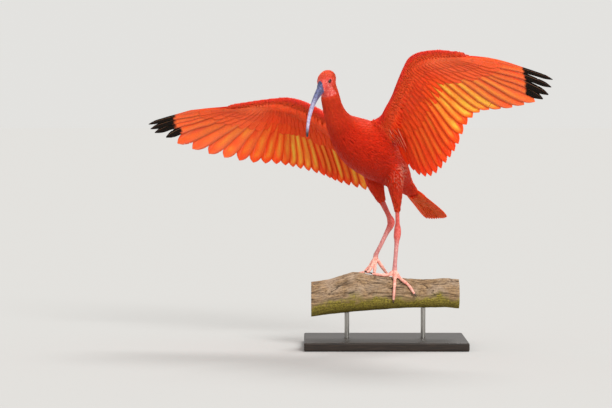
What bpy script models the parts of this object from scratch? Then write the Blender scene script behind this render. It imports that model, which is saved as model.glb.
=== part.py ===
"""Scarlet ibis, life size, with both wings spread, on a cut length of branch over a plain display stand.

The bird looks along -Y and its left is +X. Z is up, and the origin is at the middle of the stand's underside.
Lengths are metres. The branch runs along ALONG, a level direction turned by BRANCH_TURN from +X.
"""

import math

import bmesh
import bpy
import numpy as np
from mathutils import Vector

GAP = 0.0003  # clearance between pieces that touch

# The bird's body, along one line from the tail end to the top of the neck: y, z, half width, half height.
BODY = [
    (0.085, 0.322, 0.012, 0.009),
    (0.066, 0.339, 0.020, 0.015),
    (0.044, 0.355, 0.031, 0.027),
    (0.010, 0.377, 0.043, 0.040),
    (-0.036, 0.402, 0.051, 0.050),
    (-0.083, 0.425, 0.052, 0.052),
    (-0.122, 0.443, 0.042, 0.043),
    (-0.151, 0.462, 0.030, 0.031),
    (-0.169, 0.481, 0.0235, 0.024),
    (-0.181, 0.500, 0.0205, 0.0205),
    (-0.189, 0.520, 0.019, 0.019),
    (-0.194, 0.538, 0.0175, 0.0175),
]
TAIL_CUT, NECK_CUT, HEAD_CUT = 1.0, 7.2, 10.3  # places along BODY, counted in its points

# Head
CRANIUM = Vector((0.0, -0.203, 0.556))
HEAD_PITCH = math.radians(40)  # how far the face points below the horizon
FACE_LENGTH = 0.025  # cranium centre to bill base
EYE_RADIUS = 0.0050
EYE_FORWARD, EYE_UP, EYE_OUT = 0.007, 0.0025, 0.0125
LID_RADIUS, LID_OUT = 0.0012, 0.0028  # the rim round the eye, and how far it stands out from the eye's middle
# Along the head's axis from the back: distance from the cranium's middle, half width, half height, drop.
SKULL = [
    (-0.0235, 0.0040, 0.0050, 0.0010), (-0.0200, 0.0105, 0.0110, 0.0010), (-0.0120, 0.0155, 0.0160, 0.0005),
    (0.0000, 0.0172, 0.0175, 0.0000), (0.0080, 0.0160, 0.0165, 0.0005), (0.0150, 0.0128, 0.0140, 0.0015),
    (0.0205, 0.0095, 0.0112, 0.0025), (FACE_LENGTH, 0.0075, 0.0095, 0.0030),
]

NAPE_TOP, NAPE_RADIUS = Vector((0.0, 0.002, -0.002)), 0.0161  # where the neck ends inside the skull

# Bill
BILL_CHORD = 0.107
BILL_TURN = math.radians(50)  # how much it curves down from base to tip
BILL_HALF_WIDTH = [0.0072, 0.0058, 0.0046, 0.0038, 0.0032, 0.0028, 0.0022]
BILL_HALF_DEPTH = [0.0092, 0.0066, 0.0050, 0.0041, 0.0036, 0.0031, 0.0020]
BILL_DROP = 0.003  # how far the bill's base sits under the head's axis
MOUTH_DROP = 0.15  # how far the line of the mouth is under the bill's middle, as a share of its half depth
LOWER_BILL_SHARE = 0.985  # the lower mandible is a little shorter
NOSTRIL_START, NOSTRIL_END = 0.075, 0.11  # shares of the bill's length
NOSTRIL_OUT, NOSTRIL_UP = 0.0066, 0.0028
NOSTRIL_RADIUS, NOSTRIL_SHAPE = 0.001, (1.3, 0.9, 3.2)

# Branch
BRANCH_TURN = math.radians(38)
ALONG = Vector((math.cos(BRANCH_TURN), math.sin(BRANCH_TURN), 0.0))
ACROSS = Vector((math.sin(BRANCH_TURN), -math.cos(BRANCH_TURN), 0.0))
UP = Vector((0.0, 0.0, 1.0))
# Along the branch: distance from the middle, height of its heart, radius.
BRANCH = [
    (-0.155, 0.0990, 0.0370),
    (-0.115, 0.1050, 0.0375),
    (-0.084, 0.1115, 0.0410),
    (-0.062, 0.1155, 0.0425),
    (-0.031, 0.1138, 0.0385),
    (0.000, 0.1134, 0.0358),
    (0.022, 0.1130, 0.0335),
    (0.052, 0.1120, 0.0315),
    (0.095, 0.1120, 0.0308),
    (0.132, 0.1130, 0.0315),
    (0.155, 0.1105, 0.0315),
]

# Stand
BASE_LENGTH, BASE_WIDTH, BASE_THICKNESS = 0.340, 0.240, 0.018
ROD_RADIUS, ROD_PLACES = 0.005, (-0.080, 0.080)
ROD_DEPTH = 0.030  # a rod's uncut top is this far under the branch's upper side
EDGE_RADIUS = 0.003

# Wings, each as three lines from the innermost feather, 0, to the outermost primary, 23.
FEATHERS = 24
VANE_THICKNESS = 0.00055
LEFT_WING = {
    "lead": {
        0: (0.043, -0.081, 0.483), 4: (0.078, -0.091, 0.520), 8: (0.117, -0.112, 0.568),
        12: (0.144, -0.116, 0.604), 17: (0.186, -0.096, 0.618), 23: (0.239, -0.067, 0.613),
    },
    "root": {
        0: (0.055, -0.065, 0.475), 4: (0.091, -0.081, 0.512), 9: (0.134, -0.098, 0.560),
        13.5: (0.161, -0.102, 0.586), 18: (0.196, -0.088, 0.598), 23: (0.233, -0.072, 0.602),
    },
    "tip": {
        0: (0.070, -0.015, 0.382), 2: (0.104, -0.022, 0.362), 4: (0.134, -0.024, 0.360),
        7: (0.175, -0.030, 0.388), 10: (0.207, -0.032, 0.427), 12: (0.226, -0.030, 0.466),
        14: (0.251, -0.021, 0.491), 17: (0.311, 0.008, 0.501), 19: (0.354, 0.025, 0.512),
        21: (0.381, 0.033, 0.526), 22: (0.389, 0.031, 0.541), 23: (0.394, 0.028, 0.556),
    },
    "shoulder": (0.020, -0.072, 0.438),
}
RIGHT_WING = {
    "lead": {
        0: (-0.056, -0.082, 0.471), 4: (-0.117, -0.091, 0.505), 9: (-0.174, -0.091, 0.523),
        13: (-0.210, -0.094, 0.524), 17: (-0.254, -0.110, 0.519), 23: (-0.307, -0.132, 0.510),
    },
    "root": {
        0: (-0.059, -0.072, 0.450), 4: (-0.120, -0.081, 0.475), 9: (-0.185, -0.088, 0.496),
        13.5: (-0.221, -0.097, 0.502), 18: (-0.262, -0.110, 0.503), 23: (-0.301, -0.127, 0.501),
    },
    "tip": {
        0: (-0.076, 0.034, 0.327), 3: (-0.117, 0.004, 0.341), 6: (-0.150, -0.014, 0.357),
        9: (-0.201, -0.030, 0.371), 12: (-0.252, -0.050, 0.381), 14: (-0.295, -0.076, 0.384),
        17: (-0.384, -0.118, 0.403), 19: (-0.446, -0.150, 0.425), 20: (-0.466, -0.164, 0.438),
        21: (-0.487, -0.177, 0.448), 22: (-0.495, -0.182, 0.456), 23: (-0.497, -0.186, 0.466),
    },
    "shoulder": (-0.020, -0.072, 0.430),
}
ARM_HALF_THICKNESS = {0: 0.0130, 6: 0.0085, 13: 0.0065, 18: 0.0045, 23: 0.0028}
# How far the flesh reaches past the feathers' roots.
ROOT_COVER = {0: 0.044, 3: 0.022, 7: 0.012, 13: 0.010, 23: 0.009}
SHOULDER_HALF_SIZE = (0.034, 0.018)  # where the arm starts, inside the body
FINGER_HALF_SIZE = (0.0050, 0.0014)  # where the hand ends, over the outermost primary
VANE_WIDTH = {0: 0.022, 4: 0.024, 10: 0.027, 14: 0.033, 19: 0.033, 21: 0.027, 23: 0.019}
VANE_STACK = 0.0015  # each feather lies this far under the next one inwards, where they overlap
VANE_BEND, VANE_SWEEP = 0.03, 0.02  # arching and bowing, as shares of a feather's length
FIRST_NOTCHED = 20  # the outermost primaries are narrow towards their tips
# Tiers of smaller feathers over the flight feathers, above and below: first and last index, how many, where
# their roots sit between the leading edge, 0, and the flight feathers' roots, 1, how far they reach as a
# share of the flight feather's length, height over it, width.
COVERT_TIERS = [
    (-0.6, 22.4, 12, 0.85, 0.42, 0.0044, 0.0270),
    (-0.9, 21.0, 8, 0.60, 0.22, 0.0078, 0.0350),
]
# The long feathers of the armpit and the shoulder, which close the wing to the body: the same values.
INNER_TIERS = [(-1.6, 1.2, 3, 0.55, 0.62, 0.0105, 0.0200)]

# Tail
TAIL_TIP = Vector((0.020, 0.173, 0.263))
TAIL_FEATHERS, TAIL_SPREAD = 12, math.radians(17)
TAIL_WIDTH, TAIL_STEP = 0.0140, 0.0013  # a feather's width, and how far each lies under the next one inwards
TAIL_ROOTS = 0.010  # half width of the row of roots
TAIL_ROLL, TAIL_BEND = math.radians(2), 0.02
# The root of the tail: distance along it, half width, half height.
TAIL_STUB = [(0.010, 0.020, 0.014), (0.022, 0.019, 0.0100), (0.036, 0.016, 0.0055)]
# Coverts above and below the tail: how many, reach as a share of its length, height, width.
TAIL_COVERTS = [(False, 5, 0.56, 0.0046, 0.0140), (True, 5, 0.66, -0.0105, 0.0145)]

# Legs: x, y, z, radius, from the body down. A shank ends just over its foot's joint.
LEFT_THIGH = [
    (0.028, -0.030, 0.392, 0.026), (0.032, -0.014, 0.362, 0.021), (0.029, -0.002, 0.330, 0.0130),
    (0.026, 0.006, 0.303, 0.0085), (0.0245, 0.010, 0.283, 0.0058),
]
LEFT_SHANK = [
    (0.0245, 0.010, 0.283, 0.0044), (0.022, 0.014, 0.260, 0.0046), (0.020, 0.017, 0.250, 0.0066),
    (0.0195, 0.0175, 0.240, 0.0076), (0.0195, 0.016, 0.230, 0.0072), (0.020, 0.014, 0.218, 0.0050),
    (0.021, 0.009, 0.192, 0.0043), (0.0212, 0.006, 0.172, 0.0045), (0.0212, 0.0055, 0.166, 0.0050),
]
RIGHT_THIGH = [
    (-0.028, -0.020, 0.385, 0.026), (-0.032, 0.004, 0.348, 0.0190), (-0.028, 0.016, 0.320, 0.0115),
    (-0.024, 0.022, 0.303, 0.0085),
]
RIGHT_SHANK = [
    (-0.024, 0.022, 0.303, 0.0066), (-0.016, 0.033, 0.276, 0.0054), (-0.0125, 0.038, 0.262, 0.0080),
    (-0.013, 0.037, 0.252, 0.0072), (-0.017, 0.028, 0.236, 0.0050), (-0.024, 0.018, 0.212, 0.0044),
    (-0.0315, 0.0145, 0.196, 0.0046), (-0.034, 0.014, 0.191, 0.0052),
]
# The foot's joint, then each toe's points: distance along the branch, angle round it towards ACROSS in
# degrees, and height of the toe's middle over the bark.
LEFT_JOINT = Vector((0.0212, 0.0050, 0.1590))
LEFT_TOES = {
    "inner": [(0.006, 17, 0.0045), (-0.010, 19, 0.0032), (-0.0265, 14, 0.0026)],
    "middle": [(0.0195, 42, 0.0042), (0.018, 76, 0.0032), (0.0165, 110, 0.0026)],
    "outer": [(0.032, 33, 0.0042), (0.048, 58, 0.0032), (0.060, 88, 0.0026)],
    "hind": [(0.026, -22, 0.0050), (0.031, -48, 0.0026)],
}
RIGHT_JOINT = Vector((-0.0350, 0.0140, 0.1850))
RIGHT_TOES = {
    "inner": [(-0.0205, -20, 0.0200), (-0.0220, -13, 0.0055), (-0.0235, -3, 0.0026)],
    "middle": [(-0.0270, -19, 0.0200), (-0.0340, -12, 0.0050), (-0.0390, -2, 0.0026)],
    "outer": [(-0.0330, -28, 0.0190), (-0.0440, -32, 0.0060), (-0.0560, -36, 0.0026)],
    "hind": [(-0.0040, -34, 0.0240), (0.0070, -44, 0.0120), (0.0140, -60, 0.0026)],
}
WEB_REACH = 0.42  # how far along the toes the web between them goes
WEB_THICKNESS = 0.0012
JOINT_RADIUS = 0.0056
TOE_RADIUS = [0.0040, 0.0034, 0.0031, 0.0026]
CLAW_LENGTH, CLAW_ARCH = 0.009, 0.0012
CLAW_RADIUS = [0.0020, 0.0015, 0.0004]


def curve_point(points, place):
    """The smooth curve through points, given as place: vector, read at place."""
    places = sorted(points)
    values = np.array([np.atleast_1d(points[p]) for p in places], float)
    steps = np.diff(places)
    slopes = np.diff(values, axis=0) / steps[:, None]
    weights = np.concatenate([[1.0], steps[1:] / (steps[:-1] + steps[1:]), [1.0]])[:, None]
    before = np.concatenate([slopes[:1], slopes])
    after = np.concatenate([slopes, slopes[-1:]])
    tangents = before * weights + after * (1 - weights)
    i = int(np.clip(np.searchsorted(places, place) - 1, 0, len(places) - 2))
    h = steps[i]
    t = (place - places[i]) / h
    if t < 0 or t > 1:
        end = 0 if t < 0 else 1
        return values[i + end] + tangents[i + end] * (place - places[i + end])
    return (
        values[i] * (1 + 2 * t) * (1 - t) ** 2
        + tangents[i] * h * t * (1 - t) ** 2
        + values[i + 1] * t * t * (3 - 2 * t)
        + tangents[i + 1] * h * t * t * (t - 1)
    )


def line_of(rows):
    """Rows of numbers as a curve whose places are their order."""
    return {i: row for i, row in enumerate(rows)}


def circle(sides):
    return [(math.cos(2 * math.pi * k / sides), math.sin(2 * math.pi * k / sides)) for k in range(sides)]


def half_round(sides, upper):
    """A D shape: its flat side is on the line of the mouth."""
    start = 0.0 if upper else math.pi
    return [
        (math.cos(start + math.pi * k / sides), math.sin(start + math.pi * k / sides))
        for k in range(sides + 1)
    ]


def material(name, colour, roughness, metallic=0.0):
    made = bpy.data.materials.new(name)
    made.use_nodes = True
    shader = made.node_tree.nodes["Principled BSDF"]
    shader.inputs["Base Color"].default_value = (*colour, 1.0)
    shader.inputs["Roughness"].default_value = roughness
    shader.inputs["Metallic"].default_value = metallic
    return made


def mesh_object(name, points, faces, finish, collection):
    mesh = bpy.data.meshes.new(name)
    mesh.from_pydata([tuple(p) for p in points], [], faces)
    made = bmesh.new()
    made.from_mesh(mesh)
    bmesh.ops.recalc_face_normals(made, faces=made.faces)
    made.to_mesh(mesh)
    made.free()
    mesh.materials.append(finish)
    obj = bpy.data.objects.new(name, mesh)
    collection.objects.link(obj)
    return obj


def loft(name, rings, section, finish, collection):
    """A closed body through rings, each a centre and two half axes, with flat ends."""
    sides = len(section)
    points = [c + a * s + b * t for c, a, b in rings for s, t in section]
    faces = [
        (k * sides + j, k * sides + (j + 1) % sides, (k + 1) * sides + (j + 1) % sides, (k + 1) * sides + j)
        for k in range(len(rings) - 1)
        for j in range(sides)
    ]
    faces.append(tuple(range(sides)))
    faces.append(tuple(range((len(rings) - 1) * sides, len(rings) * sides)))
    return mesh_object(name, points, faces, finish, collection)


def rings_on_path(path, half_widths, half_heights, side, grow=0.0):
    """Rings square to a path, with their width along side."""
    rings = []
    for k, centre in enumerate(path):
        forward = (path[min(k + 1, len(path) - 1)] - path[max(k - 1, 0)]).normalized()
        lift = forward.cross(side).normalized()
        across = lift.cross(forward).normalized()
        rings.append((centre, across * (half_widths[k] + grow), lift * (half_heights[k] + grow)))
    return rings


def evaluated_copy(obj):
    """Replaces obj's mesh by what its modifiers make of it."""
    graph = bpy.context.evaluated_depsgraph_get()
    mesh = bpy.data.meshes.new_from_object(obj.evaluated_get(graph))
    obj.modifiers.clear()
    obj.data = mesh


def keep_largest(obj):
    """Drops every closed surface but the largest."""
    made = bmesh.new()
    made.from_mesh(obj.data)
    unseen = set(made.verts)
    shells = []
    while unseen:
        stack = [unseen.pop()]
        shell = set(stack)
        while stack:
            for edge in stack.pop().link_edges:
                for vert in edge.verts:
                    if vert in unseen:
                        unseen.discard(vert)
                        shell.add(vert)
                        stack.append(vert)
        shells.append(shell)
    shells.sort(key=len)
    loose = [v for shell in shells[:-1] for v in shell]
    bmesh.ops.delete(made, geom=loose, context="VERTS")
    bmesh.ops.triangulate(made, faces=made.faces)
    made.to_mesh(obj.data)
    made.free()


def fuse(name, pieces, collection):
    """Joins closed pieces into one body named name, with one Boolean union."""
    body, rest = pieces[0], pieces[1:]
    others = bpy.data.collections.new(name + "_pieces")
    for piece in rest:
        collection.objects.unlink(piece)
        others.objects.link(piece)
    join = body.modifiers.new("join", "BOOLEAN")
    join.operation = "UNION"
    join.solver = "EXACT"
    join.operand_type = "COLLECTION"
    join.collection = others
    evaluated_copy(body)
    for piece in rest:
        bpy.data.objects.remove(piece)
    bpy.data.collections.remove(others)
    keep_largest(body)
    body.name = name
    return body


def cut(obj, cutter):
    """Takes cutter's volume out of obj, and keeps the largest body that is left."""
    trim = obj.modifiers.new("trim", "BOOLEAN")
    trim.operation = "DIFFERENCE"
    trim.solver = "EXACT"
    trim.object = cutter
    evaluated_copy(obj)
    keep_largest(obj)


def body_rings(start, end, count, grow=0.0):
    """Rings along the body's line between two places on it."""
    rows = [curve_point(line_of(BODY), start + (end - start) * k / (count - 1)) for k in range(count)]
    path = [Vector((0.0, y, z)) for y, z, _, _ in rows]
    rings = []
    for k, centre in enumerate(path):
        place = start + (end - start) * k / (count - 1)
        ahead = curve_point(line_of(BODY), place + 0.05)
        behind = curve_point(line_of(BODY), place - 0.05)
        forward = Vector((0.0, ahead[0] - behind[0], ahead[1] - behind[1])).normalized()
        lift = forward.cross(Vector((1.0, 0.0, 0.0)))
        rings.append((centre, Vector((rows[k][2] + grow, 0.0, 0.0)), lift * (rows[k][3] + grow)))
    return rings


def shifted(rings, distance):
    """The same rings with the first one moved on by distance, to leave a gap."""
    step = (rings[1][0] - rings[0][0]).normalized() * distance
    return [(rings[0][0] + step, rings[0][1], rings[0][2])] + rings[1:]


def head_axes():
    forward = Vector((0.0, -math.cos(HEAD_PITCH), -math.sin(HEAD_PITCH)))
    lift = Vector((0.0, -math.sin(HEAD_PITCH), math.cos(HEAD_PITCH)))
    return forward, lift


def build_head(finish, collection, cutters):
    forward, lift = head_axes()
    side = Vector((1.0, 0.0, 0.0))
    skull = [(CRANIUM + forward * d - lift * drop, side * w, lift * h) for d, w, h, drop in SKULL]
    nape = shifted(body_rings(HEAD_CUT, len(BODY) - 1, 4), GAP)
    nape.append((CRANIUM + NAPE_TOP, side * NAPE_RADIUS, Vector((0.0, NAPE_RADIUS, NAPE_RADIUS / 4))))
    pieces = [
        loft("head", skull, circle(18), finish["face"], collection),
        loft("nape", nape, circle(18), finish["face"], collection),
    ]
    for sign in (1, -1):
        bpy.ops.mesh.primitive_torus_add(
            major_radius=EYE_RADIUS - LID_RADIUS / 3,
            minor_radius=LID_RADIUS,
            major_segments=12,
            minor_segments=5,
        )
        lid = bpy.context.object
        lid.location = eye_place(sign) + side * sign * LID_OUT
        lid.rotation_euler = (0.0, math.radians(90), 0.0)
        lid.scale = (0.85, 1.1, 1.0)
        bpy.ops.object.transform_apply(location=True, rotation=True, scale=True)
        move_to(lid, collection)
        lid.name = "lid"
        pieces.append(lid)
    head = fuse("head", pieces, collection)
    for sign in (1, -1):
        cut(head, ball("socket", eye_place(sign), EYE_RADIUS + GAP, 14, cutters))
    return head


def eye_place(sign):
    forward, lift = head_axes()
    return CRANIUM + forward * EYE_FORWARD + lift * EYE_UP + Vector((sign * EYE_OUT, 0.0, 0.0))


def move_to(obj, collection):
    for holder in list(obj.users_collection):
        holder.objects.unlink(obj)
    collection.objects.link(obj)


def ball(name, centre, radius, sides, collection, finish=None):
    bpy.ops.mesh.primitive_uv_sphere_add(
        segments=sides, ring_count=sides // 2, radius=radius, location=centre
    )
    obj = bpy.context.object
    obj.name = name
    move_to(obj, collection)
    if finish:
        obj.data.materials.append(finish)
    return obj


def bill_frame(share):
    """Centre and upward direction of the bill at a share of its length."""
    forward, lift = head_axes()
    radius = BILL_CHORD / (2 * math.sin(BILL_TURN / 2))
    angle = BILL_TURN * share
    base = CRANIUM + forward * (FACE_LENGTH + GAP) - lift * BILL_DROP
    centre = base + forward * radius * math.sin(angle) - lift * radius * (1 - math.cos(angle))
    return centre, lift * math.cos(angle) + forward * math.sin(angle)


def build_bill(upper, finish, collection, cutters):
    """One mandible. The two meet along the line of the mouth."""
    side = Vector((1.0, 0.0, 0.0))
    rings = []
    count = 13
    for k in range(count):
        share = k / (count - 1)
        if not upper:
            share *= LOWER_BILL_SHARE
        centre, lift = bill_frame(share)
        width = float(curve_point(line_of(BILL_HALF_WIDTH), share * 6)[0])
        depth = float(curve_point(line_of(BILL_HALF_DEPTH), share * 6)[0])
        mouth = centre - lift * depth * MOUTH_DROP
        offset = GAP / 2 if upper else -GAP / 2
        reach = depth * (1 + MOUTH_DROP if upper else 1 - MOUTH_DROP)
        rings.append((mouth + lift * offset, side * width, lift * reach))
    name = "bill_upper" if upper else "bill_lower"
    bill = loft(name, rings, half_round(8, upper), finish, collection)
    if upper:
        for sign in (1, -1):
            centre, lift = bill_frame(NOSTRIL_START)
            ahead, _ = bill_frame(NOSTRIL_END)
            place = centre + side * sign * NOSTRIL_OUT + lift * NOSTRIL_UP
            slot = ball("nostril", place, NOSTRIL_RADIUS, 10, cutters)
            slot.scale = NOSTRIL_SHAPE
            slot.rotation_mode = "QUATERNION"
            slot.rotation_quaternion = (ahead - centre).to_track_quat("Z", "Y")
            bpy.context.view_layer.update()
            cut(bill, slot)
    return bill


def branch_point(along, angle, height):
    """A point over the bark: distance along the branch, angle round it in degrees, height over the bark."""
    rows = {s: (z, r) for s, z, r in BRANCH}
    heart, radius = curve_point(rows, along)
    turn = math.radians(angle)
    out = ACROSS * math.sin(turn) + UP * math.cos(turn)
    return ALONG * along + UP * heart + out * (radius + height)


def branch_rings(grow=0.0):
    rows = {s: (z, r) for s, z, r in BRANCH}
    rings = []
    for k in range(14):
        along = BRANCH[0][0] + (BRANCH[-1][0] - BRANCH[0][0]) * k / 13
        heart, radius = curve_point(rows, along)
        rings.append((ALONG * along + UP * heart, ACROSS * (radius + grow), UP * (radius + grow)))
    return rings


def leg_rings(rows, above=None):
    """Rings down a length of leg. Its top is parallel to the end of the length above, a gap away."""
    curve = line_of(rows)
    rows = [curve_point(curve, k / 2) for k in range(2 * len(rows) - 1)]
    radii = [r[3] for r in rows]
    rings = rings_on_path([Vector(r[:3]) for r in rows], radii, radii, Vector((1.0, 0.0, 0.0)))
    if above:
        centre, across, lift = above[-1]
        down = (centre - above[-2][0]).normalized()
        rings[0] = (centre + down * GAP, across.normalized() * radii[0], lift.normalized() * radii[0])
    return rings


def toe_centres(joint, points):
    """Close points along the middle of a toe, from the foot's joint to the toe's end."""
    path = {0: joint}
    for i, point in enumerate(points):
        path[i + 1] = branch_point(*point)
    steps = 3 * len(points)
    return [Vector(curve_point(path, i / 3)) for i in range(steps + 1)]


def build_foot(name, joint, toes, shank_end, finish, collection, cutter):
    """The toes of one foot joined at its joint, resting on the bark, and a claw at each toe's end."""
    end, across, lift = shank_end
    step = (joint - end).normalized() * GAP
    stub = [(end + step, across, lift), (joint, across * 1.05, lift * 1.05)]
    pieces = [
        ball(name, joint, JOINT_RADIUS, 10, collection, finish["leg"]),
        loft("stub", stub, circle(10), finish["leg"], collection),
    ]
    claws = []
    lines = {}
    for toe, points in toes.items():
        centres = toe_centres(joint, points)
        lines[toe] = centres
        last = len(centres) - 1
        radii = [float(np.interp(i / last * 3, range(4), TOE_RADIUS)) for i in range(last + 1)]
        forward = (centres[-1] - centres[-2]).normalized()
        along, angle, _ = points[-1]
        out = branch_point(along, angle, 1.0) - branch_point(along, angle, 0.0)
        side = forward.cross(out).normalized()
        rings = rings_on_path(centres, radii, radii, side)
        pieces.append(loft(toe, rings, circle(7), finish["leg"], collection))
        tip = centres[-1] + forward * GAP
        bend = [tip, tip + forward * CLAW_LENGTH / 2 + out * CLAW_ARCH, tip + forward * CLAW_LENGTH]
        rings = rings_on_path(bend, CLAW_RADIUS, CLAW_RADIUS, side)
        rings[0] = (tip, side * CLAW_RADIUS[0], forward.cross(side) * CLAW_RADIUS[0])
        claws.append(loft(f"claw_{name[5:]}_{toe}", rings, circle(6), finish["claw"], collection))
    for one, other in (("inner", "middle"), ("middle", "outer")):
        pieces.append(web(lines[one], lines[other], finish["leg"], collection))
    foot = fuse(name, pieces, collection)
    for part in [foot] + claws:
        cut(part, cutter)
    return foot


def web(one, other, finish, collection):
    """The skin between the roots of two toes, with a hollowed front edge."""
    k = round(WEB_REACH * (len(one) - 1))
    j = round(WEB_REACH * (len(other) - 1))
    inside = one[0].lerp((one[k] + other[j]) / 2, 0.62)
    corners = [one[0], one[k // 2], one[k], inside, other[j], other[j // 2]]
    face = (one[k] - one[0]).cross(other[j] - one[0]).normalized() * WEB_THICKNESS / 2
    points = [c + face for c in corners] + [c - face for c in corners]
    fan = [(3, 4, 5), (3, 5, 0), (3, 0, 1), (3, 1, 2)]
    faces = fan + [(c + 6, b + 6, a + 6) for a, b, c in fan]
    for k in range(6):
        j = (k + 1) % 6
        faces += [(j, k, k + 6), (j, k + 6, j + 6)]
    return mesh_object("web", points, faces, finish, collection)


def blade(name, sections, finish, collection):
    """A thin closed strip through four-point sections, with its two faces split into triangles alike."""
    points = [p for section in sections for p in section]
    faces = [(0, 1, 2), (0, 2, 3)]
    for k in range(len(sections) - 1):
        a, b = 4 * k, 4 * k + 4
        faces += [(a, a + 1, b + 1), (a, b + 1, b), (a + 3, b + 2, a + 2), (a + 3, b + 3, b + 2)]
        faces += [(a + 1, a + 2, b + 2), (a + 1, b + 2, b + 1), (a, b, b + 3), (a, b + 3, a + 3)]
    last = 4 * len(sections) - 4
    faces += [(last, last + 2, last + 1), (last, last + 3, last + 2)]
    return mesh_object(name, points, faces, finish, collection)


def section_at(centre, half, deep):
    return [centre - half + deep, centre + half + deep, centre + half - deep, centre - half - deep]


def vane(name, line, across, widths, thickness, finish, collection):
    """A thin blade along a line."""
    sections = []
    for k, centre in enumerate(line):
        forward = (line[min(k + 1, len(line) - 1)] - line[max(k - 1, 0)]).normalized()
        side = (across[k] - forward * across[k].dot(forward)).normalized()
        sections.append(section_at(centre, side * widths[k] / 2, forward.cross(side) * thickness / 2))
    return blade(name, sections, finish, collection)


def feather_point(root, tip, outward, dorsal, bend, sweep, share):
    """A point on the middle line of a feather, which arches upwards and bows outwards."""
    bow = 4 * share * (1 - share) * (tip - root).length
    return root.lerp(tip, share) + (dorsal * bend + outward * sweep) * bow


def wing_frame(wing, index, side):
    """Lead, root and tip points of the wing at a feather's index, and the outward and dorsal directions."""
    lead, root, tip = (Vector(curve_point(wing[k], index)) for k in ("lead", "root", "tip"))
    middles = [
        (Vector(curve_point(wing["root"], i)) + Vector(curve_point(wing["tip"], i))) / 2
        for i in (index - 0.5, index + 0.5)
    ]
    along = (tip - root).normalized()
    span = middles[1] - middles[0]
    outward = (span - along * span.dot(along)).normalized()
    dorsal = outward.cross(along) * side
    return lead, root, tip, outward, dorsal


def wing_flesh(name, wing, side, finish, collection):
    """Shoulder, arm and hand as one body that holds the feathers' roots."""
    rings = []
    shoulder = Vector(wing["shoulder"])
    count = 11
    for k in range(count):
        index = 23.0 * k / (count - 1)
        lead, root, tip, outward, dorsal = wing_frame(wing, index, side)
        rear = root + (tip - root).normalized() * float(curve_point(ROOT_COVER, index)[0])
        chord = lead - rear
        thick = float(curve_point(ARM_HALF_THICKNESS, index)[0])
        lift = outward.cross(chord).normalized()
        if lift.dot(dorsal) < 0:
            lift = -lift
        rings.append(((lead + rear) / 2, chord / 2, lift * thick))
    first, last = rings[0], rings[-1]
    width, height = SHOULDER_HALF_SIZE
    inner = (shoulder, first[1].normalized() * width, first[2].normalized() * height)
    width, height = FINGER_HALF_SIZE
    lead, outer = Vector(curve_point(wing["lead"], 23)), sheet_point(wing, 23, 0.13, side)
    end = (outer.lerp(lead, 0.12), last[1].normalized() * width, last[2].normalized() * height)
    return loft(name, [inner] + rings + [end], circle(8), finish, collection)


def sheet_point(wing, index, share, side):
    """A point of the smooth sheet that the flight feathers' middle lines lie in."""
    _, root, tip, outward, dorsal = wing_frame(wing, index, side)
    return feather_point(root, tip, outward, dorsal, VANE_BEND, VANE_SWEEP, share)


def sheet_axes(wing, index, share, side):
    """Directions in the sheet: along the feather, towards the wing's tip, out of its upper side.

    The fourth value is the distance to the next feather's middle line.
    """
    along = sheet_point(wing, index, share + 0.05, side) - sheet_point(wing, index, share - 0.05, side)
    along.normalize()
    outward = sheet_point(wing, index + 0.5, share, side) - sheet_point(wing, index - 0.5, share, side)
    outward -= along * outward.dot(along)
    pitch = outward.length
    outward.normalize()
    return along, outward, outward.cross(along) * side, pitch


def rolled(outward, dorsal, pitch):
    """The width direction of a vane whose outer edge is turned up just enough to clear its neighbour."""
    roll = math.asin(min(0.35, VANE_STACK / pitch))
    return outward * math.cos(roll) + dorsal * math.sin(roll)


def flight_feather(name, wing, index, side, finish, collection):
    width = float(curve_point(VANE_WIDTH, index)[0])
    shares, shape = [0.0, 0.10, 0.32, 0.90, 1.0], [0.20, 0.50, 0.95, 0.92, 0.42]
    if index >= FIRST_NOTCHED:
        shares, shape = [0.0, 0.10, 0.40, 0.74, 1.0], [0.20, 0.50, 1.0, 0.68, 0.38]
    line, sides, widths = [], [], []
    for share, part in zip(shares, shape):
        _, outward, dorsal, pitch = sheet_axes(wing, index, share, side)
        line.append(sheet_point(wing, index, share, side))
        sides.append(rolled(outward, dorsal, pitch))
        widths.append(min(width * part, pitch * (0.85 if share < 0.2 else 2.6)))
    return vane(name, line, sides, widths, VANE_THICKNESS, finish, collection)


def covert(name, wing, index, side, below, tier, finish, collection):
    """A smaller feather that follows the sheet at its index, over its upper or lower face."""
    first, last, count, hold, reach, height, width = tier
    step = (last - first) / (count - 1)
    face = -1 if below else 1
    lead, root = (Vector(curve_point(wing[k], index)) for k in ("lead", "root"))
    line, sides, widths = [], [], []
    for share, part in ((0.0, 0.20), (0.35, 0.90), (0.85, 0.92), (1.0, 0.42)):
        _, outward, dorsal, pitch = sheet_axes(wing, index, reach * share, side)
        if share == 0.0:
            line.append(lead.lerp(root, hold) + dorsal * face * height * 0.2)
        else:
            line.append(sheet_point(wing, index, reach * share, side) + dorsal * face * height)
        sides.append(rolled(outward, dorsal, pitch * step))
        widths.append(min(width * part, pitch * step * 2.6))
    return vane(name, line, sides, widths, VANE_THICKNESS, finish, collection)


def build_wing(name, wing, side, finish, collection, cutter):
    red = finish["vane"]
    pieces = [wing_flesh(name, wing, side, finish["coat"], collection)]
    for index in range(FEATHERS):
        pieces.append(flight_feather(f"flight_{index}", wing, index, side, red, collection))
    for tier in COVERT_TIERS + INNER_TIERS:
        first, last, count = tier[:3]
        for below in (False, True):
            for k in range(count):
                index = first + (last - first) * k / (count - 1)
                pieces.append(covert(f"covert_{k}", wing, index, side, below, tier, red, collection))
    wing_body = fuse(name, pieces, collection)
    cut(wing_body, cutter)
    return wing_body


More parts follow.
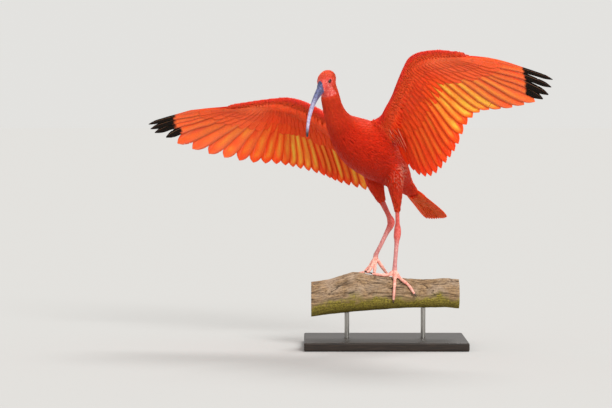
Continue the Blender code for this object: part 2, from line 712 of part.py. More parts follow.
def tail_frame():
    root = Vector((0.0, BODY[1][0], BODY[1][1]))
    along = (TAIL_TIP - root).normalized()
    outward = Vector((1.0, 0.0, 0.0))
    outward = (outward - along * outward.dot(along)).normalized()
    dorsal = outward.cross(along)
    if dorsal.z < 0:
        dorsal = -dorsal
    return root, along, outward, dorsal


def tail_stub(collection, finish):
    """The root of the tail, which goes on from the body's rear end."""
    root, along, outward, dorsal = tail_frame()
    rings = [body_rings(TAIL_CUT, TAIL_CUT + 0.1, 2)[0]]
    back = (rings[0][1].cross(rings[0][2])).normalized()
    if back.y < 0:
        back = -back
    rings[0] = (rings[0][0] + back * GAP, rings[0][1], rings[0][2])
    for distance, w, h in TAIL_STUB:
        rings.append((root + along * distance, outward * w, dorsal * h))
    start = rings[0][2]
    if start.dot(dorsal) < 0:
        rings[0] = (rings[0][0], rings[0][1], -start)
    return loft("tail", rings, circle(16), finish["coat"], collection)


def tail_line(spread, height, shares):
    """The middle line of a tail feather: spread runs from -1 at the right edge to 1 at the left edge."""
    root, along, outward, dorsal = tail_frame()
    turn = TAIL_SPREAD / 2 * spread
    direction = along * math.cos(turn) + outward * math.sin(turn)
    across = outward * math.cos(turn) - along * math.sin(turn)
    length = (TAIL_TIP - root).length * (1 - 0.05 * spread * spread)
    base = root + across * TAIL_ROOTS * spread
    start = base + along * 0.012 + dorsal * height * 0.6
    tip = base + direction * length + dorsal * height
    line = [feather_point(start, tip, across, dorsal, TAIL_BEND, 0.0, share) for share in shares]
    roll = math.copysign(TAIL_ROLL, spread)
    return line, [across * math.cos(roll) + dorsal * math.sin(roll)] * len(line)


def build_tail(finish, collection):
    pieces = [tail_stub(collection, finish)]
    middle = (TAIL_FEATHERS - 1) / 2
    for k in range(TAIL_FEATHERS):
        spread = (k - middle) / middle
        height = TAIL_STEP * (1 - int(abs(k - middle)) - (0.5 if spread < 0 else 0.0))
        line, sides = tail_line(spread, height, [0.0, 0.14, 0.45, 0.90, 1.0])
        widths = [TAIL_WIDTH * part for part in (0.22, 0.60, 0.95, 0.95, 0.45)]
        pieces.append(vane(f"tail_{k}", line, sides, widths, VANE_THICKNESS, finish["vane"], collection))
    for below, count, reach, height, width in TAIL_COVERTS:
        for k in range(count):
            spread = 2 * k / (count - 1) - 1
            drop = TAIL_STEP * (4.2 * abs(spread) if not below else -1.5 * abs(spread))
            line, sides = tail_line(spread * 0.85, height - drop, [0.0, reach * 0.4, reach * 0.85, reach])
            widths = [width * part for part in (0.25, 0.90, 0.92, 0.42)]
            name = f"covert_{k}"
            pieces.append(vane(name, line, sides, widths, VANE_THICKNESS, finish["vane"], collection))
    return fuse("tail", pieces, collection)


def build_stand(finish, collection, cutter):
    bpy.ops.mesh.primitive_cube_add(size=1.0, location=(0.0, 0.0, BASE_THICKNESS / 2))
    base = bpy.context.object
    base.name = "stand_base"
    base.scale = (BASE_LENGTH, BASE_WIDTH, BASE_THICKNESS)
    base.rotation_euler = (0.0, 0.0, BRANCH_TURN)
    bpy.ops.object.transform_apply(location=False, rotation=False, scale=True)
    edge = base.modifiers.new("edge", "BEVEL")
    edge.width = EDGE_RADIUS
    edge.segments = 2
    base.data.materials.append(finish["stand"])
    move_to(base, collection)
    for k, place in enumerate(ROD_PLACES):
        top = branch_point(place, 0, 0).z - ROD_DEPTH
        bottom = BASE_THICKNESS + GAP
        bpy.ops.mesh.primitive_cylinder_add(
            vertices=20,
            radius=ROD_RADIUS,
            depth=top - bottom,
            location=ALONG * place + UP * (top + bottom) / 2,
        )
        rod = bpy.context.object
        rod.name = f"stand_rod_{k + 1}"
        rod.data.materials.append(finish["rod"])
        move_to(rod, collection)
        cut(rod, cutter)


def main():
    for obj in list(bpy.data.objects):
        bpy.data.objects.remove(obj)
    bird = bpy.data.collections.new("scarlet_ibis")
    cutters = bpy.data.collections.new("cutters")
    for collection in (bird, cutters):
        bpy.context.scene.collection.children.link(collection)
    finish = {
        "coat": material("red_coat", (0.80, 0.045, 0.02), 0.6),
        "vane": material("red_vane", (0.85, 0.10, 0.03), 0.5),
        "face": material("bare_face", (0.75, 0.12, 0.10), 0.5),
        "leg": material("leg_skin", (0.70, 0.22, 0.19), 0.45),
        "claw": material("claw_horn", (0.10, 0.08, 0.07), 0.35),
        "bill": material("bill_horn", (0.16, 0.16, 0.22), 0.3),
        "eye": material("eye", (0.01, 0.01, 0.01), 0.08),
        "wood": material("weathered_branch", (0.27, 0.19, 0.11), 0.85),
        "stand": material("stand_base", (0.03, 0.028, 0.026), 0.4),
        "rod": material("stand_rod", (0.35, 0.34, 0.33), 0.3, 1.0),
    }

    loft("torso", body_rings(TAIL_CUT, NECK_CUT, 16), circle(20), finish["coat"], bird)
    loft("neck", shifted(body_rings(NECK_CUT, HEAD_CUT, 8), GAP), circle(18), finish["coat"], bird)
    build_head(finish, bird, cutters)
    build_bill(True, finish["bill"], bird, cutters)
    build_bill(False, finish["bill"], bird, cutters)
    for side, sign in (("left", 1), ("right", -1)):
        ball("eye_" + side, eye_place(sign), EYE_RADIUS, 14, bird, finish["eye"])

    branch_skin = loft("branch_cutter", branch_rings(GAP), circle(18), finish["wood"], cutters)
    loft("perch", branch_rings(), circle(18), finish["wood"], bird)
    build_stand(finish, bird, branch_skin)

    room = body_rings(TAIL_CUT - 0.2, NECK_CUT + 0.4, 17, 2 * GAP)
    body_skin = loft("body_cutter", room, circle(20), finish["coat"], cutters)
    for side, thigh_rows, shank_rows, joint, toes in (
        ("left", LEFT_THIGH, LEFT_SHANK, LEFT_JOINT, LEFT_TOES),
        ("right", RIGHT_THIGH, RIGHT_SHANK, RIGHT_JOINT, RIGHT_TOES),
    ):
        thigh_rings = leg_rings(thigh_rows)
        shank_rings = leg_rings(shank_rows, thigh_rings)
        thigh = loft("thigh_" + side, thigh_rings, circle(14), finish["coat"], bird)
        cut(thigh, body_skin)
        loft("shank_" + side, shank_rings, circle(10), finish["leg"], bird)
        build_foot("foot_" + side, joint, toes, shank_rings[-1], finish, bird, branch_skin)
    build_wing("wing_left", LEFT_WING, 1, finish, bird, body_skin)
    build_wing("wing_right", RIGHT_WING, -1, finish, bird, body_skin)
    build_tail(finish, bird)
    for cutter in list(cutters.objects):
        bpy.data.objects.remove(cutter)
    bpy.data.collections.remove(cutters)
    for obj in bird.objects:
        obj.data.shade_smooth()
        obj.data.set_sharp_from_angle(angle=math.radians(40))


main()
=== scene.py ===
"""Scarlet ibis, life size, on its branch and display stand: skin, plumage, horn, bark and light.

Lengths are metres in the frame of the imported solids: the bird looks along -Y, its left is +X and Z is up.
"""

import math

import bmesh
import bpy
import numpy as np
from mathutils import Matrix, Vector
from mathutils.bvhtree import BVHTree
from mathutils.kdtree import KDTree
from mathutils.noise import fractal, noise


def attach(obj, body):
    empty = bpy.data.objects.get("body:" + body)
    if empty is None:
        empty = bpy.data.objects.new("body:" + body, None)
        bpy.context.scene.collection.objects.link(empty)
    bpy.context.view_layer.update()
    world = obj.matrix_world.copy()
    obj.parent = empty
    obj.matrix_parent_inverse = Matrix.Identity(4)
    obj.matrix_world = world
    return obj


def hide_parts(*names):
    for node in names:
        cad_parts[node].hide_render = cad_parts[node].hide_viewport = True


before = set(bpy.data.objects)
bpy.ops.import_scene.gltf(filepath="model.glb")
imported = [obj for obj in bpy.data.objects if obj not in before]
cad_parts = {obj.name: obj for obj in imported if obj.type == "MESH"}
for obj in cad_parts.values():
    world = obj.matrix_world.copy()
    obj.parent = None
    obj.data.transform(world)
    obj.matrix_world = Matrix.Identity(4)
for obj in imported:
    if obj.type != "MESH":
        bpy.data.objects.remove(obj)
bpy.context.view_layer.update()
chance = np.random.default_rng(11)
LEFT, UP = np.array((1.0, 0.0, 0.0)), np.array((0.0, 0.0, 1.0))

# Camera
CAMERA_AIM = Vector((-0.134, -0.098, 0.299))
CAMERA_TURN, CAMERA_RISE = math.radians(38), math.radians(2)
CAMERA_DISTANCE, CAMERA_LENS = 5.0, 140.06

# The body, read along one line from the tail end to the top of the neck: y, z, half width, half height.
BODY = [
    (0.085, 0.322, 0.012, 0.009),
    (0.066, 0.339, 0.020, 0.015),
    (0.044, 0.355, 0.031, 0.027),
    (0.010, 0.377, 0.043, 0.040),
    (-0.036, 0.402, 0.051, 0.050),
    (-0.083, 0.425, 0.052, 0.052),
    (-0.122, 0.443, 0.042, 0.043),
    (-0.151, 0.462, 0.030, 0.031),
    (-0.169, 0.481, 0.0235, 0.024),
    (-0.181, 0.500, 0.0205, 0.0205),
    (-0.189, 0.520, 0.019, 0.019),
    (-0.194, 0.538, 0.0175, 0.0175),
]

# Head: distance along its axis from the cranium's middle, half width, half height, drop.
CRANIUM = np.array((0.0, -0.203, 0.556))
HEAD_PITCH = math.radians(40)
FACE_LENGTH = 0.025
SKULL = [
    (-0.0235, 0.0040, 0.0050, 0.0010), (-0.0200, 0.0105, 0.0110, 0.0010), (-0.0120, 0.0155, 0.0160, 0.0005),
    (0.0000, 0.0172, 0.0175, 0.0000), (0.0080, 0.0160, 0.0165, 0.0005), (0.0150, 0.0128, 0.0140, 0.0015),
    (0.0205, 0.0099, 0.0116, 0.0025), (FACE_LENGTH, 0.0084, 0.0105, 0.0030), (0.0282, 0.0079, 0.0099, 0.0033),
]
# Where bare skin begins, along the head's axis, at heights over it.
FACE_EDGE = {
    -0.016: 0.0070, -0.009: 0.0078, -0.004: 0.0062, 0.002: 0.0040, 0.007: 0.0072, 0.012: 0.0140, 0.016: 0.020,
}
FACE_BLUR = 0.0010  # half the width of the change from down to bare skin
EYE_RING = (0.0062, 0.0078)  # from the eye's middle: where the bare ring begins to fade, and where it ends
FACE_REACH = (0.036, 0.033)  # from the cranium's middle: bare skin ends at the first, fading from the second
HEAD_RADIUS = 0.034  # of a ball round the cranium's middle that holds the head
# Where the neck ends inside the skull: from the cranium's middle, half width, and half height with its slant.
NAPE_TOP, NAPE_HALF_WIDTH = np.array((0.0, 0.002, -0.002)), 0.0161
NAPE_HALF_HEIGHT = np.array((0.0, 0.0161, 0.004))
HORN_REACH, HORN_HALF_WIDTH = 0.0085, 0.0068  # how far the bill's horn runs up the forehead, and how wide
GAPE_LENGTH = 0.008  # of the mouth's crease in the skin behind the bill
EYE_FORWARD, EYE_UP, EYE_OUT = 0.007, 0.0025, 0.0125
EYE_RADIUS, EYE_SINK = 0.0050, 0.0012
EYE_OPENING = (0.0040, 0.0034)  # half length and half height of the gap between the lids

# Bill
BILL_CHORD = 0.107
BILL_TURN = math.radians(50)
BILL_HALF_WIDTH = [0.0072, 0.0058, 0.0046, 0.0038, 0.0032, 0.0028, 0.0022]
BILL_HALF_DEPTH = [0.0092, 0.0066, 0.0050, 0.0041, 0.0036, 0.0031, 0.0020]
BILL_DROP, MOUTH_DROP = 0.003, 0.15

# Branch: distance from the middle, height of its heart, radius.
BRANCH_TURN = math.radians(38)
ALONG = np.array((math.cos(BRANCH_TURN), math.sin(BRANCH_TURN), 0.0))
ACROSS = np.array((math.sin(BRANCH_TURN), -math.cos(BRANCH_TURN), 0.0))
BRANCH = [
    (-0.155, 0.0990, 0.0370), (-0.115, 0.1050, 0.0375), (-0.084, 0.1115, 0.0410), (-0.062, 0.1155, 0.0425),
    (-0.031, 0.1138, 0.0385), (0.000, 0.1134, 0.0358), (0.022, 0.1130, 0.0335), (0.052, 0.1120, 0.0315),
    (0.095, 0.1120, 0.0308), (0.132, 0.1130, 0.0315), (0.155, 0.1105, 0.0315),
]

# Wings, each as three lines from the innermost feather, 0, to the outermost primary, 23.
LEFT_WING = {
    "side": 1,
    "lead": {
        0: (0.043, -0.081, 0.483), 4: (0.078, -0.091, 0.520), 8: (0.117, -0.112, 0.568),
        12: (0.144, -0.116, 0.604), 17: (0.186, -0.096, 0.618), 23: (0.239, -0.067, 0.613),
    },
    "root": {
        0: (0.055, -0.065, 0.475), 4: (0.091, -0.081, 0.512), 9: (0.134, -0.098, 0.560),
        13.5: (0.161, -0.102, 0.586), 18: (0.196, -0.088, 0.598), 23: (0.233, -0.072, 0.602),
    },
    "tip": {
        0: (0.070, -0.015, 0.382), 2: (0.104, -0.022, 0.362), 4: (0.134, -0.024, 0.360),
        7: (0.175, -0.030, 0.388), 10: (0.207, -0.032, 0.427), 12: (0.226, -0.030, 0.466),
        14: (0.251, -0.021, 0.491), 17: (0.311, 0.008, 0.501), 19: (0.354, 0.025, 0.512),
        21: (0.381, 0.033, 0.526), 22: (0.389, 0.031, 0.541), 23: (0.394, 0.028, 0.556),
    },
    "shoulder": (0.020, -0.072, 0.438),
    # How strongly each feather is painted with the yellow and orange of light shining through it: painted
    # light.
    "painted_glow": {0: 0.05, 5: 0.12, 9: 0.35, 12: 0.90, 14: 1.0, 16: 0.95, 18: 0.45, 20: 0.20, 23: 0.10},
}
RIGHT_WING = {
    "side": -1,
    "lead": {
        0: (-0.056, -0.082, 0.471), 4: (-0.117, -0.091, 0.505), 9: (-0.174, -0.091, 0.523),
        13: (-0.210, -0.094, 0.524), 17: (-0.254, -0.110, 0.519), 23: (-0.307, -0.132, 0.510),
    },
    "root": {
        0: (-0.059, -0.072, 0.450), 4: (-0.120, -0.081, 0.475), 9: (-0.185, -0.088, 0.496),
        13.5: (-0.221, -0.097, 0.502), 18: (-0.262, -0.110, 0.503), 23: (-0.301, -0.127, 0.501),
    },
    "tip": {
        0: (-0.076, 0.034, 0.327), 3: (-0.117, 0.004, 0.341), 6: (-0.150, -0.014, 0.357),
        9: (-0.201, -0.030, 0.371), 12: (-0.252, -0.050, 0.381), 14: (-0.295, -0.076, 0.384),
        17: (-0.384, -0.118, 0.403), 19: (-0.446, -0.150, 0.425), 20: (-0.466, -0.164, 0.438),
        21: (-0.487, -0.177, 0.448), 22: (-0.495, -0.182, 0.456), 23: (-0.497, -0.186, 0.466),
    },
    "shoulder": (-0.020, -0.072, 0.430),
    # How strongly each feather is painted with the yellow and orange of light shining through it: painted
    # light.
    "painted_glow": {0: 1.0, 2: 0.95, 4: 0.60, 7: 0.70, 10: 0.85, 13: 0.55, 16: 0.25, 20: 0.10, 23: 0.05},
}
ARM_HALF_THICKNESS = {0: 0.0130, 6: 0.0085, 13: 0.0065, 18: 0.0045, 23: 0.0028}
ROOT_COVER = {0: 0.044, 3: 0.022, 7: 0.012, 13: 0.010, 23: 0.009}
SHOULDER_HALF_SIZE, FINGER_HALF_SIZE = (0.034, 0.018), (0.0050, 0.0014)
VANE_WIDTH = {0: 0.024, 4: 0.026, 10: 0.029, 14: 0.034, 19: 0.034, 21: 0.026, 23: 0.017}
VANE_BEND, VANE_SWEEP = 0.03, 0.02
VANE_STACK = 0.0010  # each flight feather lies this far under the next one inwards
VANE_THICKNESS = 0.00035
FLIGHTS, FIRST_BLACK = 24, 20  # feathers in a wing, and the first one with a black tip
BLACK_LENGTHS = [0.040, 0.052, 0.059, 0.062]  # of the outer four primaries, from the inner one outwards
FLIGHT_QUILL = 0.0007  # radius of a flight feather's quill at its root
# Radius at the root and paleness of the quills that show in the armpit, and of the other coverts' quills.
BARE_QUILL, HIDDEN_QUILL = (0.0007, 1.6), (0.0003, 0.15)
# Tiers of coverts: first and last index, how many, how far ahead of the flight feathers' roots they
# start as a share of the arm's chord, reach as a share of the flight feather, height over the sheet, width.
COVERT_TIERS = [
    (-0.5, 22.8, 27, 0.10, 0.44, 0.0022, 0.0215),
    (-0.6, 22.6, 30, 0.42, 0.28, 0.0034, 0.0180),
    (-0.6, 22.4, 34, 0.72, 0.17, 0.0044, 0.0150),
]
COVERT_SINK = 0.0035  # how deep a covert's root lies in the flesh
COVERT_THICKNESS, COVERT_STACK = 0.00028, 0.0006
COVERT_OVERLAP, COVERT_NARROWEST = 3.2, 0.004  # most width in steps from covert to covert, and its least
INNER_NARROW = 0.55  # width of the armpit's coverts, as a share of what their tiers say
INNER_TIERS = [(-2.2, 1.4, 8, 0.30, 0.62, 0.0060, 0.0150), (-2.0, 0.8, 6, 0.50, 0.46, 0.0078, 0.0150)]

# Tail
TAIL_TIP = np.array((0.020, 0.173, 0.263))
TAIL_FEATHERS, TAIL_SPREAD = 12, math.radians(17)
TAIL_WIDTH, TAIL_STEP, TAIL_ROOTS = 0.0140, 0.0008, 0.010
TAIL_ROLL, TAIL_BEND = math.radians(2), 0.02
TAIL_START, TAIL_ROOT_SIZE = 1.6, (0.026, 0.021)  # its flesh's place along BODY, and half sizes there
TAIL_STUB = [(0.010, 0.020, 0.014), (0.022, 0.019, 0.0100), (0.036, 0.016, 0.0055)]
TAIL_COVERTS = [(1, 9, 0.58, 0.0026, 0.0125), (1, 8, 0.42, 0.0048, 0.0125), (-1, 9, 0.66, -0.0036, 0.0130),
                (-1, 8, 0.48, -0.0064, 0.0130)]

# Legs: x, y, z, radius, from the body down.
LEFT_THIGH = [
    (0.028, -0.030, 0.392, 0.026), (0.032, -0.014, 0.362, 0.021), (0.029, -0.002, 0.330, 0.0130),
    (0.026, 0.006, 0.303, 0.0085), (0.0245, 0.010, 0.283, 0.0058),
]
LEFT_SHANK = [
    (0.0245, 0.010, 0.283, 0.0044), (0.022, 0.014, 0.260, 0.0046), (0.020, 0.017, 0.250, 0.0066),
    (0.0195, 0.0175, 0.240, 0.0076), (0.0195, 0.016, 0.230, 0.0072), (0.020, 0.014, 0.218, 0.0050),
    (0.021, 0.009, 0.192, 0.0043), (0.0212, 0.006, 0.172, 0.0045), (0.0212, 0.0055, 0.166, 0.0050),
]
RIGHT_THIGH = [
    (-0.028, -0.020, 0.385, 0.026), (-0.032, 0.004, 0.348, 0.0190), (-0.028, 0.016, 0.320, 0.0115),
    (-0.024, 0.022, 0.303, 0.0085),
]
RIGHT_SHANK = [
    (-0.024, 0.022, 0.303, 0.0066), (-0.016, 0.033, 0.276, 0.0054), (-0.0125, 0.038, 0.262, 0.0080),
    (-0.013, 0.037, 0.252, 0.0072), (-0.017, 0.028, 0.236, 0.0050), (-0.024, 0.018, 0.212, 0.0044),
    (-0.0315, 0.0145, 0.196, 0.0046), (-0.034, 0.014, 0.191, 0.0052),
]
# Each toe's points: distance along the branch, angle round it in degrees, height over the bark.
LEFT_JOINT = (0.0212, 0.0050, 0.1590)
LEFT_TOES = {
    "inner": [(0.006, 17, 0.0045), (-0.010, 19, 0.0032), (-0.0265, 14, 0.0026)],
    "middle": [(0.0195, 42, 0.0042), (0.018, 76, 0.0032), (0.0165, 110, 0.0026)],
    "outer": [(0.032, 33, 0.0042), (0.048, 58, 0.0032), (0.060, 88, 0.0026)],
    "hind": [(0.026, -22, 0.0050), (0.031, -48, 0.0026)],
}
RIGHT_JOINT = (-0.0350, 0.0140, 0.1850)
RIGHT_TOES = {
    "inner": [(-0.0205, -20, 0.0200), (-0.0220, -13, 0.0055), (-0.0235, -3, 0.0026)],
    "middle": [(-0.0270, -19, 0.0200), (-0.0340, -12, 0.0050), (-0.0390, -2, 0.0026)],
    "outer": [(-0.0330, -28, 0.0190), (-0.0440, -32, 0.0060), (-0.0560, -36, 0.0026)],
    "hind": [(-0.0040, -34, 0.0240), (0.0070, -44, 0.0120), (0.0140, -60, 0.0026)],
}
JOINT_RADIUS = 0.0056
CLAW_LENGTH, CLAW_ARCH = 0.009, 0.0012
CLAW_RADIUS = [0.0020, 0.0015, 0.0004]
TOE_RADIUS = [0.0040, 0.0034, 0.0031, 0.0026]
WEB_REACH, WEB_THICKNESS = 0.42, 0.0012


def colour(text):
    """An sRGB hex colour as linear numbers."""
    parts = [int(text[i : i + 2], 16) / 255 for i in (0, 2, 4)]
    return np.array([c / 12.92 if c <= 0.04045 else ((c + 0.055) / 1.055) ** 2.4 for c in parts])


def paint(text):
    """The same colour for a node or a shader."""
    return (*[float(c) for c in colour(text)], 1.0)


# Plumage colours
CROWN_PINK = colour("FB5A4C")
SCARLET, DEEP_SCARLET, BRIGHT_SCARLET = colour("F5351A"), colour("CC2412"), colour("FF4A2C")
# The third of these is painted light: the yellow of light shining through a single layer of vane.
VANE_RED, VANE_ORANGE, PAINTED_GLOW_YELLOW = colour("FF421C"), colour("FF7A26"), colour("FFC246")
# The second of these is painted shade, for the edges of the hand's feathers where the next one overlaps.
HAND_PINK, EDGE_SHADE_PAINT, COVERT_RUST = colour("F58A5C"), colour("C0584A"), colour("F4522A")
# The second of these is a painted highlight: pale glints on the flank's standing feathers.
# The third of these is painted light: the tail's shaded underside painted brighter.
AXIL_PALE, RUFFLE_PAINTED_GLINT, TAIL_PAINTED_LIGHT = colour("FFAA84"), colour("FFA088"), colour("FF5E34")
# The first of these is a painted highlight for the wing's leading edge.
RIM_HIGHLIGHT_RED, TIP_BLACK, QUILL_PALE = colour("FF3A2C"), colour("17130F"), "FFB890"


def unit(v):
    return v / np.maximum(np.linalg.norm(v, axis=-1, keepdims=True), 1e-12)


def dot(a, b):
    return np.sum(a * b, axis=-1, keepdims=True)


def ramp(x, low, high):
    t = np.clip((x - low) / (high - low), 0.0, 1.0)
    return t * t * (3 - 2 * t)


def mix(a, b, share):
    """Colours a and b blended by an array of shares."""
    share = np.asarray(share)[..., None]
    return a * (1 - share) + b * share


def curve(points, at):
    """The smooth curve through points, given as place: vector, read at an array of places."""
    order = sorted(points)
    places = np.array(order, float)
    values = np.array([np.atleast_1d(points[p]) for p in order], float)
    steps = np.diff(places)
    slopes = np.diff(values, axis=0) / steps[:, None]
    weights = np.concatenate([[1.0], steps[1:] / (steps[:-1] + steps[1:]), [1.0]])[:, None]
    tangents = np.concatenate([slopes[:1], slopes]) * weights
    tangents += np.concatenate([slopes, slopes[-1:]]) * (1 - weights)
    at = np.atleast_1d(np.asarray(at, float))
    held = np.clip(at, places[0], places[-1])
    i = np.clip(np.searchsorted(places, held) - 1, 0, len(places) - 2)
    h = steps[i][:, None]
    t = (held - places[i])[:, None] / h
    point = (
        values[i] * (1 + 2 * t) * (1 - t) ** 2
        + tangents[i] * h * t * (1 - t) ** 2
        + values[i + 1] * t * t * (3 - 2 * t)
        + tangents[i + 1] * h * t * t * (t - 1)
    )
    beyond = (at - held)[:, None]
    return point + np.where(beyond < 0, tangents[0], tangents[-1]) * beyond


def number(points, at):
    """A curve of single numbers."""
    return curve(points, at)[:, 0]


def line_of(rows):
    return {i: row for i, row in enumerate(rows)}


def lengths_along(line):
    """How far along a line each of its points is."""
    return np.concatenate([[0.0], np.cumsum(np.linalg.norm(np.diff(line, axis=0), axis=1))])


def turns(sides):
    """Angles spread evenly round a circle."""
    return np.arange(sides) * 2 * math.pi / sides


def hump(x, middle, width):
    return np.exp(-(((x - middle) / width) ** 2))


def noises(points):
    """Smooth noise at points, in the noise's own unit of length."""
    return np.array([noise(Vector(p)) for p in points])


def noise_over(*places):
    """Smooth noise over a grid, given by its places along three axes."""
    grid = np.stack(np.broadcast_arrays(*places), axis=-1)
    return noises(grid.reshape(-1, 3)).reshape(grid.shape[:-1])


def folds(points):
    """Noise in three sizes, each half of the one before."""
    return np.array([fractal(Vector(p), 1.0, 2.0, 3) for p in points])


# Meshes


def set_mesh(name, points, faces, finish, smooth=True):
    """An object from points and faces that all have the same number of corners."""
    faces = np.asarray(faces, np.int32)
    mesh = bpy.data.meshes.new(name)
    mesh.vertices.add(len(points))
    mesh.vertices.foreach_set("co", np.asarray(points, np.float32).ravel())
    mesh.loops.add(faces.size)
    mesh.loops.foreach_set("vertex_index", faces.ravel())
    mesh.polygons.add(len(faces))
    mesh.polygons.foreach_set("loop_start", np.arange(0, faces.size, faces.shape[1], dtype=np.int32))
    mesh.polygons.foreach_set("use_smooth", np.full(len(faces), smooth))
    mesh.update(calc_edges=True)
    if finish:
        mesh.materials.append(finish)
    obj = bpy.data.objects.new(name, mesh)
    bpy.context.scene.collection.objects.link(obj)
    return obj


def give_values(obj, name, values):
    """A value or a colour for each point."""
    values = np.asarray(values, np.float32)
    if values.ndim == 1:
        obj.data.attributes.new(name, "FLOAT", "POINT").data.foreach_set("value", values)
    else:
        full = np.ones((len(values), 4), np.float32)
        full[:, :3] = values
        obj.data.color_attributes.new(name, "FLOAT_COLOR", "POINT").data.foreach_set("color", full.ravel())


def give_map(obj, name, places):
    """A map with a place for each corner of each face."""
    layer = obj.data.uv_layers.new(name=name)
    layer.uv.foreach_set("vector", places.astype(np.float32).ravel())


def give_finish(obj, finish):
    obj.data.materials.clear()
    obj.data.materials.append(finish)


def read_points(obj, what):
    values = np.empty(len(obj.data.vertices) * 3, np.float32)
    obj.data.vertices.foreach_get(what, values)
    return values.reshape(-1, 3).astype(float)


def move_points(obj, points):
    obj.data.vertices.foreach_set("co", np.asarray(points, np.float32).ravel())
    obj.data.update()


def edit(obj, change):
    """Opens obj's mesh, changes it and writes it back."""
    mesh = bmesh.new()
    mesh.from_mesh(obj.data)
    change(mesh)
    mesh.to_mesh(obj.data)
    mesh.free()


def relax(mesh, points, rounds):
    axes = {"use_axis_x": True, "use_axis_y": True, "use_axis_z": True}
    for _ in range(rounds):
        bmesh.ops.smooth_vert(mesh, verts=points, factor=0.5, **axes)


def turn_outwards(mesh):
    bmesh.ops.recalc_face_normals(mesh, faces=mesh.faces)


def tree_of(places):
    """A search tree that finds the nearest of places."""
    store = KDTree(len(places))
    for k, place in enumerate(places):
        store.insert(place, k)
    store.balance()
    return store


def join(name, objects):
    """Joins objects into the first one."""
    bpy.ops.object.select_all(action="DESELECT")
    for obj in objects:
        obj.select_set(True)
    bpy.context.view_layer.objects.active = objects[0]
    bpy.ops.object.join()
    objects[0].name = name
    return objects[0]


def melt(obj, voxel, rounds):
    """Fuses what obj is joined from into one smooth skin."""
    weld = obj.modifiers.new("weld", "REMESH")
    weld.mode = "VOXEL"
    weld.voxel_size = voxel
    weld.use_smooth_shade = True
    soften = obj.modifiers.new("soften", "SMOOTH")
    soften.factor = 0.5
    soften.iterations = rounds
    graph = bpy.context.evaluated_depsgraph_get()
    mesh = bpy.data.meshes.new_from_object(obj.evaluated_get(graph))
    obj.modifiers.clear()
    obj.data = mesh


# Tubes: closed forms through rings, each a centre and two half axes


def tube(rings, first=0):
    return {first + k: np.concatenate([np.asarray(v, float) for v in ring]) for k, ring in enumerate(rings)}


def tube_at(form, station, angle):
    """Point on a tube, at a station along it and an angle round it."""
    values = curve(form, station)
    angle = np.asarray(angle, float)[:, None]
    return values[:, :3] + values[:, 3:6] * np.cos(angle) + values[:, 6:] * np.sin(angle)


END_SHARE = 0.02  # how far a tube's closed ends are drawn in, as a share of its thickness there


def tube_mesh(name, form, rows, sides):
    """A tube as a closed mesh of quads, with its ends drawn in."""
    stations = np.linspace(min(form), max(form), rows)
    points = tube_at(form, np.repeat(stations, sides), np.tile(turns(sides), rows))
    first, last = curve(form, stations[[0, -1]])[:, :3]
    start = first + (points[:sides] - first) * END_SHARE
    end = last + (points[-sides:] - last) * END_SHARE
    return set_mesh(name, np.concatenate([start, points, end]), ring_quads(rows + 2, sides), None)


def ring_quads(rows, loop):
    """The faces between rows of closed loops."""
    r, j = np.meshgrid(np.arange(rows - 1), np.arange(loop), indexing="ij")
    k = (j + 1) % loop
    quads = np.stack([r * loop + j, r * loop + k, (r + 1) * loop + k, (r + 1) * loop + j], axis=-1)
    return quads.reshape(-1, 4)


def rings_on_path(path, half_widths, half_heights, side=LEFT):
    path = np.asarray(path, float)
    forward = unit(np.gradient(path, axis=0))
    lift = unit(np.cross(forward, side))
    across = unit(np.cross(lift, forward))
    return [(c, a * w, n * h) for c, a, n, w, h in zip(path, across, lift, half_widths, half_heights)]


def body_tube():
    rows = np.array(BODY)
    path = np.stack([np.zeros(len(rows)), rows[:, 0], rows[:, 1]], axis=1)
    return tube(rings_on_path(path, rows[:, 2], rows[:, 3]))


def head_axes():
    forward = np.array((0.0, -math.cos(HEAD_PITCH), -math.sin(HEAD_PITCH)))
    lift = np.array((0.0, -math.sin(HEAD_PITCH), math.cos(HEAD_PITCH)))
    return forward, lift


def head_places(points):
    """Along the head's axis, up from it and out to the side, from the cranium's middle."""
    forward, lift = head_axes()
    off = points - CRANIUM
    return off @ forward, off @ lift, off[:, 0]


def skull_tube():
    forward, lift = head_axes()
    return tube([(CRANIUM + forward * d - lift * drop, LEFT * w, lift * h) for d, w, h, drop in SKULL])


def nape_tube():
    """The top of the neck, drawn up into the skull."""
    rings = [(r[:3], r[3:6], r[6:]) for r in curve(body_tube(), np.array([9.5, 10.3, 11.0]))]
    rings.append((CRANIUM + NAPE_TOP, LEFT * NAPE_HALF_WIDTH, NAPE_HALF_HEIGHT))
    return tube(rings)


def leg_tube(rows):
    rows = curve(line_of(rows), np.linspace(0, len(rows) - 1, 2 * len(rows) - 1))
    return tube(rings_on_path(rows[:, :3], rows[:, 3], rows[:, 3]))


# Wing sheet


def wing_frame(wing, index):
    """Lead, root and tip points at feathers' indexes, with the outward and dorsal directions there."""
    lead, root, tip = (curve(wing[k], index) for k in ("lead", "root", "tip"))

    def middle(i):
        return (curve(wing["root"], i) + curve(wing["tip"], i)) / 2

    along = unit(tip - root)
    span = middle(index + 0.5) - middle(index - 0.5)
    outward = unit(span - along * dot(span, along))
    return lead, root, tip, outward, np.cross(outward, along) * wing["side"]


def sheet(wing, index, share):
    """Points of the smooth sheet that the flight feathers' middle lines lie in."""
    _, root, tip, outward, dorsal = wing_frame(wing, index)
    share = np.asarray(share, float)[:, None]
    bow = 4 * share * (1 - share) * np.linalg.norm(tip - root, axis=1, keepdims=True)
    return root + (tip - root) * share + (dorsal * VANE_BEND + outward * VANE_SWEEP) * bow


